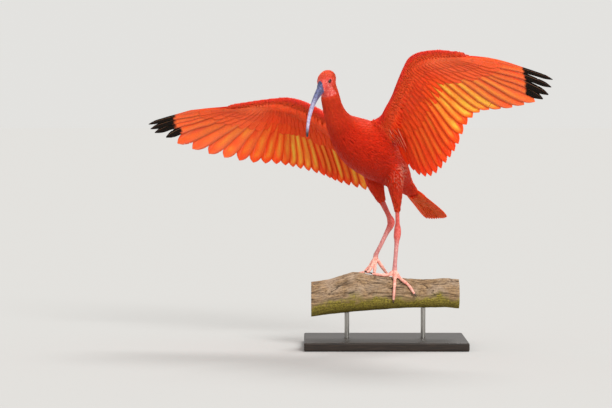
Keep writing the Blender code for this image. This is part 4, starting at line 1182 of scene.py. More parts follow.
def build_skin(parts):
    """One closed skin over every tract."""
    own = [part for part in parts if part.name not in ("breast", "neck")]  # these share the rear's tube
    skin = join("skin", [tube_mesh(part.name + "_flesh", part.form, FLESH_ROWS, FLESH_SIDES) for part in own])
    melt(skin, SKIN_VOXEL, SKIN_ROUNDS)
    edit(skin, blend_skin)
    edit(skin, refine_head)
    shape_face(skin)
    points = read_points(skin, "co")
    places, tints = [], []
    for part in parts:
        station = np.repeat(np.linspace(*part.rows, TINT_ROWS), TINT_SIDES)
        angle = np.tile(turns(TINT_SIDES), TINT_ROWS)
        places.append(tube_at(part.form, station, angle))
        # Painted shade: the skin under the coat is painted darker.
        tints.append(part.tint(station, angle) * SKIN_PAINTED_SHADE)
    store, tints = tree_of(np.concatenate(places)), np.concatenate(tints)
    nearest = np.array([[i for _, i, _ in store.find_n(p, 4)] for p in points])
    give_values(skin, "Tint", tints[nearest].mean(axis=1))
    bare = bare_share(points)
    give_values(skin, "Bare", bare)
    streaks = folds(points * (420, 600, 420))
    # Painted highlights: pale streaks over the bare face.
    give_values(skin, "PaintedHighlight", bare * ramp(streaks, 0.0, 0.85) * 0.62)
    along, up, out = head_places(points)
    crest = FACE_LENGTH - HORN_REACH * np.sqrt(np.clip(1 - (out / HORN_HALF_WIDTH) ** 2, 0, 1))
    horn = ramp(along - crest + HORN_EDGE * streaks, -HORN_EDGE, HORN_EDGE) * ramp(up, -0.003, 0.0)
    give_values(skin, "Horn", horn)
    move_points(skin, points + read_points(skin, "normal") * HORN_LIFT * horn[:, None])
    give_finish(skin, SKIN_FINISH)
    return skin


def bare_share(points):
    """1 where the face is bare: lores, chin and a ring round the eye."""
    along, up, _ = head_places(points)
    edge = number(FACE_EDGE, up)
    face = ramp(along, edge - FACE_BLUR, edge + FACE_BLUR)
    eye = 1 - ramp(np.hypot(along - EYE_FORWARD, up - EYE_UP), *EYE_RING)
    near = ramp(-np.linalg.norm(points - CRANIUM, axis=1), -FACE_REACH[0], -FACE_REACH[1])
    return np.maximum(face, eye) * near


NAPE = np.array((0.0, 0.013, -0.013))  # the hollow below the back of the skull, from the cranium's middle
# Places where the skin is blended: middle, reach, rounds of smoothing.
BLENDS = [(LEFT_THIGH[0][:3], 0.036, 30), (RIGHT_THIGH[0][:3], 0.036, 30), (CRANIUM + NAPE, 0.019, 40)]


FINE_HEAD_START = -0.012  # along the head's axis


def blend_skin(mesh):
    """Blends the thighs' tops into the body and the skull into the neck."""
    for middle, reach, rounds in BLENDS:
        relax(mesh, [v for v in mesh.verts if (v.co - Vector(middle)).length < reach], rounds)


def refine_head(mesh):
    """Makes the skin's mesh fine over the head, but for the back of the skull."""
    middle, forward = Vector(CRANIUM), head_axes()[0]
    for _ in range(2):
        near = [f for f in mesh.faces if (f.calc_center_median() - middle).length < HEAD_RADIUS]
        ahead = [(np.array(f.calc_center_median()) - CRANIUM).dot(forward) > FINE_HEAD_START for f in near]
        edges = list({e for f, front in zip(near, ahead) if front for e in f.edges})
        bmesh.ops.subdivide_edges(mesh, edges=edges, cuts=1, use_grid_fill=True)
    relax(mesh, [v for v in mesh.verts if (v.co - middle).length < HEAD_RADIUS], 4)


LID_EDGE = 1.08  # how far from the eye's middle the socket begins, where the gap's edge is at 1
CREASE_DEPTH, LIP_HEIGHT, FOLD_HEIGHT, WRINKLE_HEIGHT = 0.0009, 0.0004, 0.00020, 0.00030


def shape_face(skin):
    """Sinks the eyes in their sockets, raises the lids round them, and creases the bare skin."""
    points, normals = read_points(skin, "co"), read_points(skin, "normal")
    along, up, out = head_places(points)
    near = np.linalg.norm(points - CRANIUM, axis=1) < HEAD_RADIUS
    a, b = (along - EYE_FORWARD) / EYE_OPENING[0], (up - EYE_UP) / EYE_OPENING[1]
    ring = np.hypot(a, b)  # 1 at the edge of the gap between the lids
    beside = near & (np.abs(out) > 0.008)
    lid = 0.0011 * hump(ring, 1.30, 0.20) - 0.0005 * hump(ring, 1.72, 0.16)
    lid += 0.0006 * hump(ring, 2.05, 0.16) * ramp(b, -0.9, 1.2)
    lid -= 0.0003 * hump(ring, 2.40, 0.14) * ramp(b, -0.5, 1.2)
    points[beside] += normals[beside] * lid[beside, None]
    inside = beside & (ring < LID_EDGE)
    depth = ramp(-ring, -LID_EDGE, -0.92)
    sunk = np.sign(out) * (EYE_OUT - EYE_SINK - 0.0005)
    points[inside, 0] += ((sunk - points[:, 0]) * depth)[inside]
    mouth = -BILL_DROP - BILL_HALF_DEPTH[0] * MOUTH_DROP - 0.10 * (FACE_LENGTH - along)
    gape = FACE_LENGTH - GAPE_LENGTH
    crease = hump(up - mouth, 0, 0.0007) * ramp(along, gape, FACE_LENGTH - 0.002)
    lips = hump(np.abs(up - mouth), 0.0016, 0.0007) * ramp(along, gape, FACE_LENGTH)
    at = points[near]
    amount = bare_share(at) * np.where(ring[near] < 1.2, 0.2, 1.0)
    push = amount * (FOLD_HEIGHT * folds(at * 420) + WRINKLE_HEIGHT * noises(at * (260, 110, 520)))
    push = push - CREASE_DEPTH * crease[near] + LIP_HEIGHT * lips[near]
    points[near] += normals[near] * push[:, None]
    move_points(skin, points)


# Small feathers


def tuft_places(tract):
    """Staggered rows of stations and angles over a tract."""
    stations = np.linspace(*tract.rows, 300)
    length = lengths_along(curve(tract.form, stations)[:, :3])
    low, high = tract.reach
    found = []
    for row, place in enumerate(np.arange(0.0, length[-1], tract.gap)):
        station = np.interp(place, length, stations)
        ring = curve(tract.form, station)[0]
        radius = (np.linalg.norm(ring[3:6]) + np.linalg.norm(ring[6:])) / 2
        count = max(4, int(radius * (high - low) / (tract.gap * 0.88)))
        angle = low + (high - low) * (np.arange(count) + 0.5 * (row % 2)) / count
        angle = angle + chance.normal(0, 0.30 * (high - low) / count, count)
        found.append(np.stack([np.full(count, station), angle], axis=1))
    places = np.concatenate(found)
    jitter = chance.normal(0, 0.28, len(places))
    places[:, 0] += jitter * tract.gap / length[-1] * (stations[-1] - stations[0])
    return places


# Widths of a small feather at its rows of points, for so many rows.
LEAF_WIDTHS = {4: np.array([0.45, 1.0, 0.80, 0.12]), 5: np.array([0.40, 0.90, 1.0, 0.72, 0.10])}
# The flank under the left wing, where some feathers stand up, painted pale as glints: a painted highlight.
RUFFLE, RUFFLE_REACH = np.array((0.044, -0.010, 0.368)), 0.022
ROOT_REACH = 0.0045  # how far from the skin a small feather's root may lie before it is pulled onto it
SKIN_REACH = 0.0030  # and the rest of the feather
BARE_ENOUGH = 0.4  # how bare the skin is where no feathers grow
ROOT_SHARE = 0.45  # how much of the coat's depth lies under a small feather's root
LEAF_SPREADS = (0.06, 0.09, 0.025)  # how much tilt, yaw and curl differ from feather to feather
RUFFLE_CURL = 0.22
# A small feather's section: how far its edges hang, its top stands and its bottom hangs, as shares of
# half its width, and how bright its corners are painted: painted light and shade, lighter at the edges,
# darker below.
LEAF_EDGE, LEAF_TOP, LEAF_BOTTOM = 0.10, 0.08, 0.12
LEAF_PAINTED_SHADES = np.array([1.03, 0.98, 1.03, 0.94])
LEAF_LIFT = 0.0005  # how far a small feather's tip stands out of the coat
LEAF_SINK = 0.0006  # how far its root sits in the coat
TUFT_PATCH = 0.003  # the side of a small feather's patch on the baking map


def lie_on_skin(tract, tree, stations, roots, ways, bare):
    """Marches each small feather over the skin from its root. Gives those kept, their lines and normals."""
    lengths = number(tract.length, stations) * chance.uniform(0.82, 1.18, len(roots))
    lengths = lengths * (1 - 0.5 * ramp(bare, 0.0, BARE_ENOUGH))
    kept, lines, normals = [], [], []
    for k, (root, way) in enumerate(zip(roots, ways)):
        spot, normal, _, distance = tree.find_nearest(Vector(root))
        if distance > ROOT_REACH or bare[k] > BARE_ENOUGH:
            continue
        way = Vector(way)
        line, faces = [spot], [normal]
        for _ in range(tract.leaf_rows - 1):
            way = (way - normal * way.dot(normal)).normalized()
            spot = spot + way * (lengths[k] / (tract.leaf_rows - 1))
            touch, fresh, _, distance = tree.find_nearest(spot)
            if distance < SKIN_REACH:
                spot, normal = touch, (normal + fresh).normalized()
            line.append(spot)
            faces.append(normal)
        kept.append(k)
        lines.append(line)
        normals.append(faces)
    return np.array(kept), np.array(lines), np.array(normals), lengths[kept]


def grow_tract(gather, tract, tree, cell):
    """Lays small closed pointed feathers over the skin, so close that they read as a coat."""
    places = tuft_places(tract)
    roots = tube_at(tract.form, places[:, 0], places[:, 1])
    ways = tract.lie(tract.form, places[:, 0], places[:, 1])
    kept, line, normal, lengths = lie_on_skin(tract, tree, places[:, 0], roots, ways, bare_share(roots))
    station, angle = places[kept].T
    count, rows = len(kept), tract.leaf_rows
    share = np.linspace(0, 1, rows)
    long = lengths[:, None, None]
    forward = unit(np.gradient(line, axis=1))
    across = unit(np.cross(forward, normal))
    tilt, yaw, curl = chance.normal(0, LEAF_SPREADS, (count, 3)).T[:, :, None, None]
    ruffle = hump(np.linalg.norm(roots[kept] - RUFFLE, axis=1), 0, RUFFLE_REACH)
    ruffle = ruffle * ramp(chance.uniform(0, 1, count), 0.70, 0.85)
    curl = curl + RUFFLE_CURL * ruffle[:, None, None]
    line = line + across * yaw * (share[:, None] * long)
    across = unit(across + normal * tilt)
    width = number(tract.width, station) * chance.uniform(0.85, 1.15, count)
    half = width[:, None, None] * LEAF_WIDTHS[rows][:, None] / 2
    depth = number(tract.depth, station)[:, None, None]
    over = depth * (1 - ROOT_SHARE) + LEAF_LIFT * chance.uniform(0.6, 1.5, (count, 1, 1))
    lift = depth * ROOT_SHARE + over * share[:, None] - LEAF_SINK * (1 - share[:, None])
    middle = line + normal * (lift + curl * long * share[:, None] ** 2 * 0.4)
    corners = [
        middle - across * half - normal * half * LEAF_EDGE, middle + normal * half * LEAF_TOP,
        middle + across * half - normal * half * LEAF_EDGE, middle - normal * half * LEAF_BOTTOM,
    ]
    points = np.stack(corners, axis=2).reshape(-1, 3)
    caps = [[3, 2, 1, 0], [4 * rows - 4, 4 * rows - 3, 4 * rows - 2, 4 * rows - 1]]
    quads = np.concatenate([ring_quads(rows, 4), caps])
    faces = (quads + 4 * rows * np.arange(count)[:, None, None]).reshape(-1, 4)
    tone = tract.tint(station, angle) * chance.uniform(0.90, 1.05, (count, 1))
    # Painted highlight: the standing feathers are painted pale, as whitish glints.
    tone = mix(tone, RUFFLE_PAINTED_GLINT, 0.9 * ruffle)
    # Painted shade: darker towards the root, which lies under the feathers before it, and darker underneath.
    light = (0.88 + 0.16 * share)[:, None] * LEAF_PAINTED_SHADES
    tints = (tone[:, None, None] * light[None, ..., None]).reshape(-1, 3)
    side = (half[..., 0, None] * np.array([-1.0, 0.0, 1.0, 0.0]) * CENTIMETRES).reshape(-1)
    down = np.repeat(share * lengths[:, None] * CENTIMETRES, 4, axis=1).reshape(-1)
    left, low, right, high = cell
    first, last = min(tract.form), max(tract.form)
    u = left + (right - left) * ((angle / (2 * math.pi)) % 1.0)
    v = low + (high - low) * (station - first) / (last - first)
    patch = unrolled(rows, 4, (1.0, 1.0, 1.0, 1.0), (0.0, 0.0, TUFT_PATCH, TUFT_PATCH))
    patch = np.concatenate([patch, np.tile(CAP_PATCH, (2, 1, 1))])
    bake = np.stack([u, v], axis=1)[:, None, None] + patch - TUFT_PATCH / 2
    vane = np.stack([side, down], axis=1)
    gather.take(points, faces, tints, vane, np.zeros(len(points)), bake.reshape(-1, 4, 2))


COATS = {
    "coat_body": ("rear", "rump"), "coat_breast": ("breast",), "coat_neck": ("neck", "nape"),
    "coat_head": ("skull",), "coat_thighs": ("thigh_left", "thigh_right"),
    "coat_wing_left": ("wing_left",), "coat_wing_right": ("wing_right",),
}


def small_feathers(parts, skin):
    """The coat in pieces, each with every tract in its own part of the baking map."""
    mesh = skin.data
    corners = [tuple(face.vertices) for face in mesh.polygons]
    tree = BVHTree.FromPolygons([v.co.copy() for v in mesh.vertices], corners)
    by_name = {tract.name: tract for tract in parts}
    made = []
    for name, members in COATS.items():
        gather = Gather()
        for k, member in enumerate(members):
            cell = ((k + 0.01) / len(members), 0.01, (k + 0.99) / len(members), 0.99)
            grow_tract(gather, by_name[member], tree, cell)
        made.append(gather.build(name, COAT_FINISH))
    return made


# Bill


def bill_frame(share):
    """Centres and upward directions of the bill at shares of its length."""
    forward, lift = head_axes()
    radius = BILL_CHORD / (2 * math.sin(BILL_TURN / 2))
    angle = (BILL_TURN * np.asarray(share))[:, None]
    base = CRANIUM + forward * (FACE_LENGTH + 0.0003) - lift * BILL_DROP
    centre = base + forward * radius * np.sin(angle) - lift * radius * (1 - np.cos(angle))
    return centre, lift * np.cos(angle) + forward * np.sin(angle)


BILL_ROWS, BILL_SIDES = 150, 48
LOWER_BILL_SHARE = 0.985  # the lower half is a little shorter
BILL_ROOT = 0.06  # how much of the bill is hidden in the face
BILL_TIP, TIP_ROUNDING = 0.955, 0.046  # where its rounded end begins, and that end's length, as shares
LIP_GAP = 0.00015  # half the gap between the halves
GROOVE_TURN = 0.62  # angle of the groove over the bill's side
# Depths and heights as shares of the bill's size there.
GROOVE_DEPTH, NOSTRIL_DEPTH, RIDGE_HEIGHT, CREASE_HEIGHT = 0.11, 0.20, 0.014, 0.010


def build_bill(upper):
    """One horn sheath with the long groove of an ibis's bill, and a slit nostril at the groove's start."""
    rows, sides, top = BILL_ROWS, BILL_SIDES, 1.0 if upper else -1.0
    share = np.linspace(-BILL_ROOT, 1.0 if upper else LOWER_BILL_SHARE, rows)
    centre, lift = bill_frame(share)
    hidden = 1 - 0.45 * ramp(-share, 0.0, BILL_ROOT)
    width, depth = (
        number(line_of(sizes), np.maximum(share, 0) * (len(sizes) - 1)) * hidden
        for sizes in (BILL_HALF_WIDTH, BILL_HALF_DEPTH)
    )
    rounding = np.sqrt(np.clip(1 - ((share - BILL_TIP) / TIP_ROUNDING) ** 2, 0.03, 1))
    rounding = np.where(share > BILL_TIP, rounding, 1.0)
    reach = depth * (1 + MOUTH_DROP * top) * rounding
    width = width * rounding
    mouth = centre - lift * (depth * MOUTH_DROP)[:, None] + lift * LIP_GAP * top
    turn = np.linspace(0, math.pi, sides)
    x, y = np.cos(turn), np.sin(turn)
    out = np.ones((rows, sides))
    if upper:
        fold = np.minimum(np.abs(turn - GROOVE_TURN), np.abs(turn - (math.pi - GROOVE_TURN)))
        groove = hump(fold, 0, 0.13) * (ramp(share, 0.03, 0.09) * (1 - ramp(share, 0.60, 0.95)))[:, None]
        slit = hump(fold, 0, 0.10) * np.exp(-(((share - 0.088) / 0.020) ** 4))[:, None]
        out = out - GROOVE_DEPTH * groove - NOSTRIL_DEPTH * slit
    ridges = noise_over(share[:, None] * 70, turn * 2.5, 3.0 * top)
    creases = noise_over(share[:, None] * 14, turn * 9.0, 5.0 * top)
    out = out + RIDGE_HEIGHT * ridges * (1 - ramp(share, 0.1, 0.5))[:, None] + CREASE_HEIGHT * creases
    points = (
        mouth[:, None]
        + LEFT * (x * out * width[:, None])[..., None]
        + lift[:, None] * (y * out * top * reach[:, None])[..., None]
    )
    name = "bill_upper" if upper else "bill_lower"
    faces = np.concatenate([ring_quads(rows, sides), end_caps(rows, sides)])
    bill = set_mesh(name + "_horn", points.reshape(-1, 3), faces, BILL_FINISH)
    give_values(bill, "Along", np.repeat(np.clip(share, 0, 1), sides))
    edit(bill, turn_outwards)
    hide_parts(name)
    return bill


# Eyes


EYE_ROWS, EYE_SIDES = 40, 48
EYE_GAP = 0.0001  # between the eyeball and the edge of its solid
BULGE, BULGE_TURN = 0.035, 0.62  # of the iris: height as a share of the radius, and half angle
POLE = 0.01  # angle from each pole to the first ring of points


def build_eye(side):
    """An eyeball with a clear bulge over its iris, looking out to one side."""
    forward, lift = head_axes()
    axis = LEFT * side
    middle = CRANIUM + forward * EYE_FORWARD + lift * EYE_UP + axis * (EYE_OUT - EYE_SINK)
    away = np.linspace(POLE, math.pi - POLE, EYE_ROWS)
    angle = turns(EYE_SIDES)[:, None]
    radius = (EYE_RADIUS - EYE_GAP) * (1 + BULGE * hump(away, 0, BULGE_TURN))
    across = np.cos(angle) * forward + np.sin(angle) * lift
    points = (
        middle
        + axis * (radius * np.cos(away))[:, None, None]
        + across * (radius * np.sin(away))[:, None, None]
    )
    name = "eye_left" if side > 0 else "eye_right"
    faces = np.concatenate([ring_quads(EYE_ROWS, EYE_SIDES), end_caps(EYE_ROWS, EYE_SIDES)])
    eye = set_mesh(name + "_glass", points.reshape(-1, 3), faces, EYE_FINISH)
    give_values(eye, "Ring", np.repeat(away, EYE_SIDES))
    edit(eye, turn_outwards)
    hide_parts(name)
    return eye


# Legs


def branch_point(along, angle, height):
    heart, radius = curve({s: (z, r) for s, z, r in BRANCH}, along)[0]
    turn = math.radians(angle)
    return ALONG * along + UP * heart + (ACROSS * math.sin(turn) + UP * math.cos(turn)) * (radius + height)


def toe_line(joint, points, count):
    path = {0: joint, **{i + 1: branch_point(*point) for i, point in enumerate(points)}}
    return curve(path, np.linspace(0, len(points), count))


LEG_VOXEL, LEG_ROUNDS = 0.0005, 7
TOE_ROWS = 30
SHANK_MESH, TOE_MESH = (110, 20), (70, 16)  # rows and sides
SHANK_HIDDEN = 0.003  # how far the shank reaches up into the thigh
TOE_END, TOE_END_SHARE = 0.0008, 0.75  # how far a toe's end is rounded off, and how thick it ends
PAD_SWELL = 0.10  # how far a toe's pads stand out, as a share of its radius


def build_leg(name, shank, joint, toes):
    """Shank, ankle and toes under one scaly skin, and the claws."""
    rows = curve(line_of(shank), np.linspace(0, len(shank) - 1, 60))
    joint = np.array(joint)
    rows[0, :3] += unit(rows[0, :3] - rows[3, :3]) * SHANK_HIDDEN
    path = np.concatenate([rows[:, :3], [joint]])
    radii = np.concatenate([rows[:, 3], [rows[-1, 3] * 1.05]])
    pieces = [tube_mesh("shank_flesh", tube(rings_on_path(path, radii, radii)), *SHANK_MESH)]
    lines, claws = [(path, 0)], []
    for toe, points in toes.items():
        line = toe_line(joint, points, TOE_ROWS)
        last_along, last_angle, _ = points[-1]
        out = branch_point(last_along, last_angle, 1.0) - branch_point(last_along, last_angle, 0.0)
        forward = unit(line[-1] - toe_line(joint, points, 13)[-2])
        side = unit(np.cross(forward, out))
        claws.append(build_claw(f"claw_{name}_{toe}", line[-1], forward, out))
        pad_turns = (1.6 if toe == "hind" else 3.0) * 2 * math.pi
        pads = 1 + PAD_SWELL * np.sin(np.linspace(0, pad_turns, TOE_ROWS) - 1.2)
        radii = np.interp(np.linspace(0, 3, TOE_ROWS), range(4), TOE_RADIUS) * pads
        line = np.concatenate([line, [line[-1] + forward * TOE_END]])
        radii = np.concatenate([radii, [radii[-1] * TOE_END_SHARE]])
        pieces.append(tube_mesh(toe, tube(rings_on_path(line, radii, radii, side)), *TOE_MESH))
        lines.append((line, 1))
    for one, other in (("inner", "middle"), ("middle", "outer")):
        pieces.append(web_mesh(toe_line(joint, toes[one], 10), toe_line(joint, toes[other], 10)))
    bpy.ops.mesh.primitive_uv_sphere_add(segments=20, ring_count=12, radius=JOINT_RADIUS, location=joint)
    pieces.append(bpy.context.object)
    leg = join("leg_" + name, pieces)
    melt(leg, LEG_VOXEL, LEG_ROUNDS)
    plate_leg(leg, lines)
    give_finish(leg, LEG_FINISH)
    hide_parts("shank_" + name, "foot_" + name)
    return [leg, *claws]


CLAW_ROWS, CLAW_SIDES = 28, 16
CLAW_HIDDEN = 0.0012  # how far a claw's root lies in the toe
CLAW_NARROW = 0.92  # a claw's width as a share of its height


def build_claw(name, tip, forward, out):
    """A curved tapering claw, a little narrower than it is deep."""
    middle = tip + forward * CLAW_LENGTH / 2 + out * CLAW_ARCH
    path = {0: tip - forward * CLAW_HIDDEN, 1: middle, 2: tip + forward * CLAW_LENGTH}
    places = np.linspace(0, 2, CLAW_ROWS)
    radii = number(line_of(CLAW_RADIUS), places)
    rings = rings_on_path(curve(path, places), radii * CLAW_NARROW, radii, unit(np.cross(forward, out)))
    claw = tube_mesh(name + "_horn", tube(rings), CLAW_ROWS, CLAW_SIDES)
    claw.data.materials.append(CLAW_FINISH)
    give_values(claw, "Along", np.repeat(np.linspace(0, 1, CLAW_ROWS + 2), CLAW_SIDES))
    edit(claw, turn_outwards)
    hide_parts(name)
    return claw


def web_mesh(one, other):
    """The skin between the roots of two toes, with a hollowed front edge."""
    k = round(WEB_REACH * (len(one) - 1))
    inside = one[0] + ((one[k] + other[k]) / 2 - one[0]) * 0.62
    corners = [one[0], one[k // 2], one[k], inside, other[k], other[k // 2]]
    face = unit(np.cross(one[k] - one[0], other[k] - one[0])) * WEB_THICKNESS / 2
    mesh = bmesh.new()
    above = [mesh.verts.new(c + face) for c in corners]
    below = [mesh.verts.new(c - face) for c in corners]
    for a, b, c in ((3, 4, 5), (3, 5, 0), (3, 0, 1), (3, 1, 2)):
        mesh.faces.new((above[a], above[b], above[c]))
        mesh.faces.new((below[c], below[b], below[a]))
    for k in range(6):
        j = (k + 1) % 6
        mesh.faces.new((above[j], above[k], below[k], below[j]))
    turn_outwards(mesh)
    data = bpy.data.meshes.new("web")
    mesh.to_mesh(data)
    mesh.free()
    web = bpy.data.objects.new("web", data)
    bpy.context.scene.collection.objects.link(web)
    return web


SCALE_SIZE, SCALES_AROUND, SCALE_GROOVE = 0.0029, 8, 0.00024


def honeycomb(u, v, wrap):
    """How near points lie to a seam between uneven six-sided scales: 1 on it. v starts again at wrap."""
    near = np.full((2, len(u)), 9.0)
    for du in (-1, 0, 1):
        for dv in (-2, -1, 0, 1):
            row, column = np.floor(u) + du, np.floor(v) + dv
            draw = np.sin(row * 12.99 + (column % wrap) * 78.23) * 43758.5
            draw = draw - np.floor(draw)
            middle_u = row + 0.5 + 0.22 * (draw - 0.5)
            middle_v = column + 0.5 + 0.5 * (row % 2) + 0.22 * ((draw * 7.3) % 1.0 - 0.5)
            away = np.hypot(u - middle_u, v - middle_v)
            near = np.sort(np.concatenate([near, [away]]), axis=0)[:2]
    return 1 - ramp(near[1] - near[0], 0.02, 0.24)


LINE_STEPS = 240  # along each shank or toe
TOE_SCALES = 10  # small scales round a toe
PEBBLE = 0.00007  # depth of the fine roughness on shanks and toes


def plate_leg(leg, lines):
    """Presses the seams between scales into the leg, and keeps each point's place for the colours."""
    points, normals = read_points(leg, "co"), read_points(leg, "normal")
    steps = []
    for line, is_toe in lines:
        fine = curve(line_of(line), np.linspace(0, len(line) - 1, LINE_STEPS))
        length = lengths_along(fine)
        whole = np.full(LINE_STEPS, length[-1])
        steps.append((fine, unit(np.gradient(fine, axis=0)), length, np.full(LINE_STEPS, is_toe), whole))
    steps = [np.concatenate(values) for values in zip(*steps)]
    store = tree_of(steps[0])
    near = np.array([store.find(p)[1] for p in points])
    middle, forward, down, toe, whole = (values[near] for values in steps)
    away = points - middle
    down = down + np.sum(away * forward, axis=1)
    front = np.where(toe[:, None] == 1, UP, np.array((0.0, -1.0, 0.0)))
    front = unit(front - forward * dot(front, forward))
    angle = np.arctan2(np.sum(away * np.cross(forward, front), axis=1), np.sum(away * front, axis=1))
    row = down / SCALE_SIZE
    scales = honeycomb(row, angle / (2 * math.pi) * SCALES_AROUND, SCALES_AROUND)
    small = honeycomb(row * 1.8, angle / (2 * math.pi) * TOE_SCALES, TOE_SCALES)
    across = ramp(np.abs(row * 1.25 - np.floor(row * 1.25) - 0.5) * 2, 0.70, 1.0)
    above = ramp(np.cos(angle), 0.05, 0.35)
    seam = np.where(toe == 1, across * above + small * (1 - above), scales)
    depth = -SCALE_GROOVE * seam * np.where(toe == 1, 0.8, 1.0) + PEBBLE * noises(points * 900)
    move_points(leg, points + normals * depth[:, None])
    give_values(leg, "Seam", seam)
    give_values(leg, "Down", np.where(toe == 1, 1.0 + down / whole, down / whole))


# Branch

BRANCH_ROWS, BRANCH_SIDES = 380, 200
END_RINGS = (0.97, 0.85, 0.70, 0.55, 0.40, 0.25, 0.12, 0.02)


BARK_RADIUS = 0.036  # the branch's mean radius, for the scale of its bark
DEEP_CRACK, SHALLOW_CRACK, FURROW, LUMP, FIBRE = 0.0026, 0.0009, 0.0022, 0.0006, 0.00025  # depths in the bark
SAWN_ROUGH, SAWN_FINE, SAWN_DEPTH = 0.0007, 0.0005, 0.0006  # of the cut ends


def build_branch():
    """A cut length of bare weathered branch: grey-brown, cracked along the grain, mossy underneath."""
    rows, sides = BRANCH_ROWS, BRANCH_SIDES
    along = np.linspace(BRANCH[0][0], BRANCH[-1][0], rows)
    values = curve({s: (z, r) for s, z, r in BRANCH}, along)
    grid_s, grid_a = np.meshgrid(along, turns(sides), indexing="ij")
    depth, crack = bark_relief(grid_s, grid_a)
    out = np.sin(grid_a)[..., None] * ACROSS + np.cos(grid_a)[..., None] * UP
    heart = ALONG * along[:, None] + UP * values[:, :1]
    points = heart[:, None] + out * (values[:, 1:2] + depth)[..., None]
    rings, faces, total = [points.reshape(-1, 3)], [ring_quads(rows, sides)], rows * sides
    j = np.arange(sides)
    k = (j + 1) % sides
    for end, sign in ((0, -1), (rows - 1, 1)):
        previous = end * sides
        for share in END_RINGS:
            ring = heart[end] + (points[end] - heart[end]) * share
            rough = SAWN_ROUGH * noises(ring * 160) + SAWN_FINE * noises(ring * 500)
            rings.append(ring + ALONG * (rough - SAWN_DEPTH)[:, None] * sign)
            faces.append(np.stack([previous + j, previous + k, total + k, total + j], axis=1))
            previous = total
            total += sides
    branch = set_mesh("branch_wood", np.concatenate(rings), np.concatenate(faces), WOOD_FINISH)
    edit(branch, turn_outwards)
    cut = np.zeros(2 * len(END_RINGS) * sides)
    give_values(branch, "Cut", np.concatenate([np.zeros(rows * sides), cut + 1]))
    give_values(branch, "Under", np.concatenate([-np.cos(grid_a).ravel(), cut]))
    give_values(branch, "Crack", np.concatenate([crack.ravel(), cut]))
    place = np.stack([grid_s, grid_a * BARK_RADIUS, 0 * grid_s], axis=-1).reshape(-1, 3)
    ends = np.concatenate(rings[1:]) @ np.stack([ACROSS, UP, ALONG], axis=1)
    give_values(branch, "Grain", np.concatenate([place * 10 + 0.5, ends * 10 + 0.5]))
    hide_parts("perch")
    return branch


def bark_relief(along, angle):
    """Depth of cracks, ridges and dents in metres, and how deep in a crack each point is, from 0 to 1."""
    round_x, round_y = np.cos(angle).ravel(), np.sin(angle).ravel()
    flat = np.stack([along.ravel(), round_x * BARK_RADIUS, round_y * BARK_RADIUS], axis=1)
    wander = noises(flat * 30 + (0, 7, 0))
    drift = wander[:, None] * (1, 0, 0)
    grain = noises(flat * (20, 170, 170) + drift)
    second = noises(flat * (45, 330, 330) + drift + (0, 9, 0))
    fine = noises(flat * (130, 800, 800))
    lumps = noises(flat * (55, 70, 70) + (0, 2, 0))
    furrow = noises(flat * (9, 75, 75) + drift + (0, 3, 0))
    bare_top = ramp(round_x, -0.75, 0.1)
    deep = np.clip(1 - np.abs(grain) * 6, 0, 1) * ramp(wander, -0.45, 0.15) * (0.15 + 0.85 * bare_top)
    shallow = np.clip(1 - np.abs(second) * 5, 0, 1) * (0.2 + 0.8 * bare_top)
    furrow = ramp(furrow, 0.0, 0.45) * bare_top
    crack = np.maximum(deep, shallow * 0.55)
    depth = -DEEP_CRACK * deep - SHALLOW_CRACK * shallow - FURROW * furrow - LUMP * (1 + lumps) + FIBRE * fine
    return depth.reshape(along.shape), crack.reshape(along.shape)


# Finishes of horn, skin, eye, wood and stand


def bill_finish():
    """Horn sheath, keratin of IOR 1.54 worn smooth: slate blue, then lilac, nearly black at the tip."""
    finish, tree = new_finish(
        "bill_horn", {"Roughness": 0.36, "IOR": 1.54, "Coat Weight": 0.15, "Coat Roughness": 0.3}
    )
    along = add(tree, "Attribute", out=2, attribute_name="Along")
    place = add(tree, "TexCoord", out=3)
    cloud = add(tree, "TexNoise", {"Vector": place, "Scale": 260.0, "Detail": 4.0})
    fine = add(tree, "TexNoise", {"Vector": place, "Scale": 1400.0, "Detail": 2.0})
    patchy = add(tree, "MapRange", {0: cloud, 1: 0.36, 2: 0.64})
    slate, lilac = (
        add(tree, "Mix", {0: patchy, 6: dark, 7: light}, 2, data_type="RGBA")
        for dark, light in (("2E3350", "666A98"), ("8D88AE", "C2B6CE"))
    )
    middle = add(tree, "MapRange", {0: along, 1: 0.22, 2: 0.55})
    horn = add(tree, "Mix", {0: middle, 6: slate, 7: lilac}, 2, data_type="RGBA")
    worn = add(tree, "MapRange", {0: along, 1: 0.80, 2: 0.93})
    horn = add(tree, "Mix", {0: worn, 6: horn, 7: "1E1C26"}, 2, data_type="RGBA")
    bump = add(tree, "Bump", {"Strength": 0.2, "Distance": 0.0002, "Height": fine})
    return surfaced(finish, horn, bump)


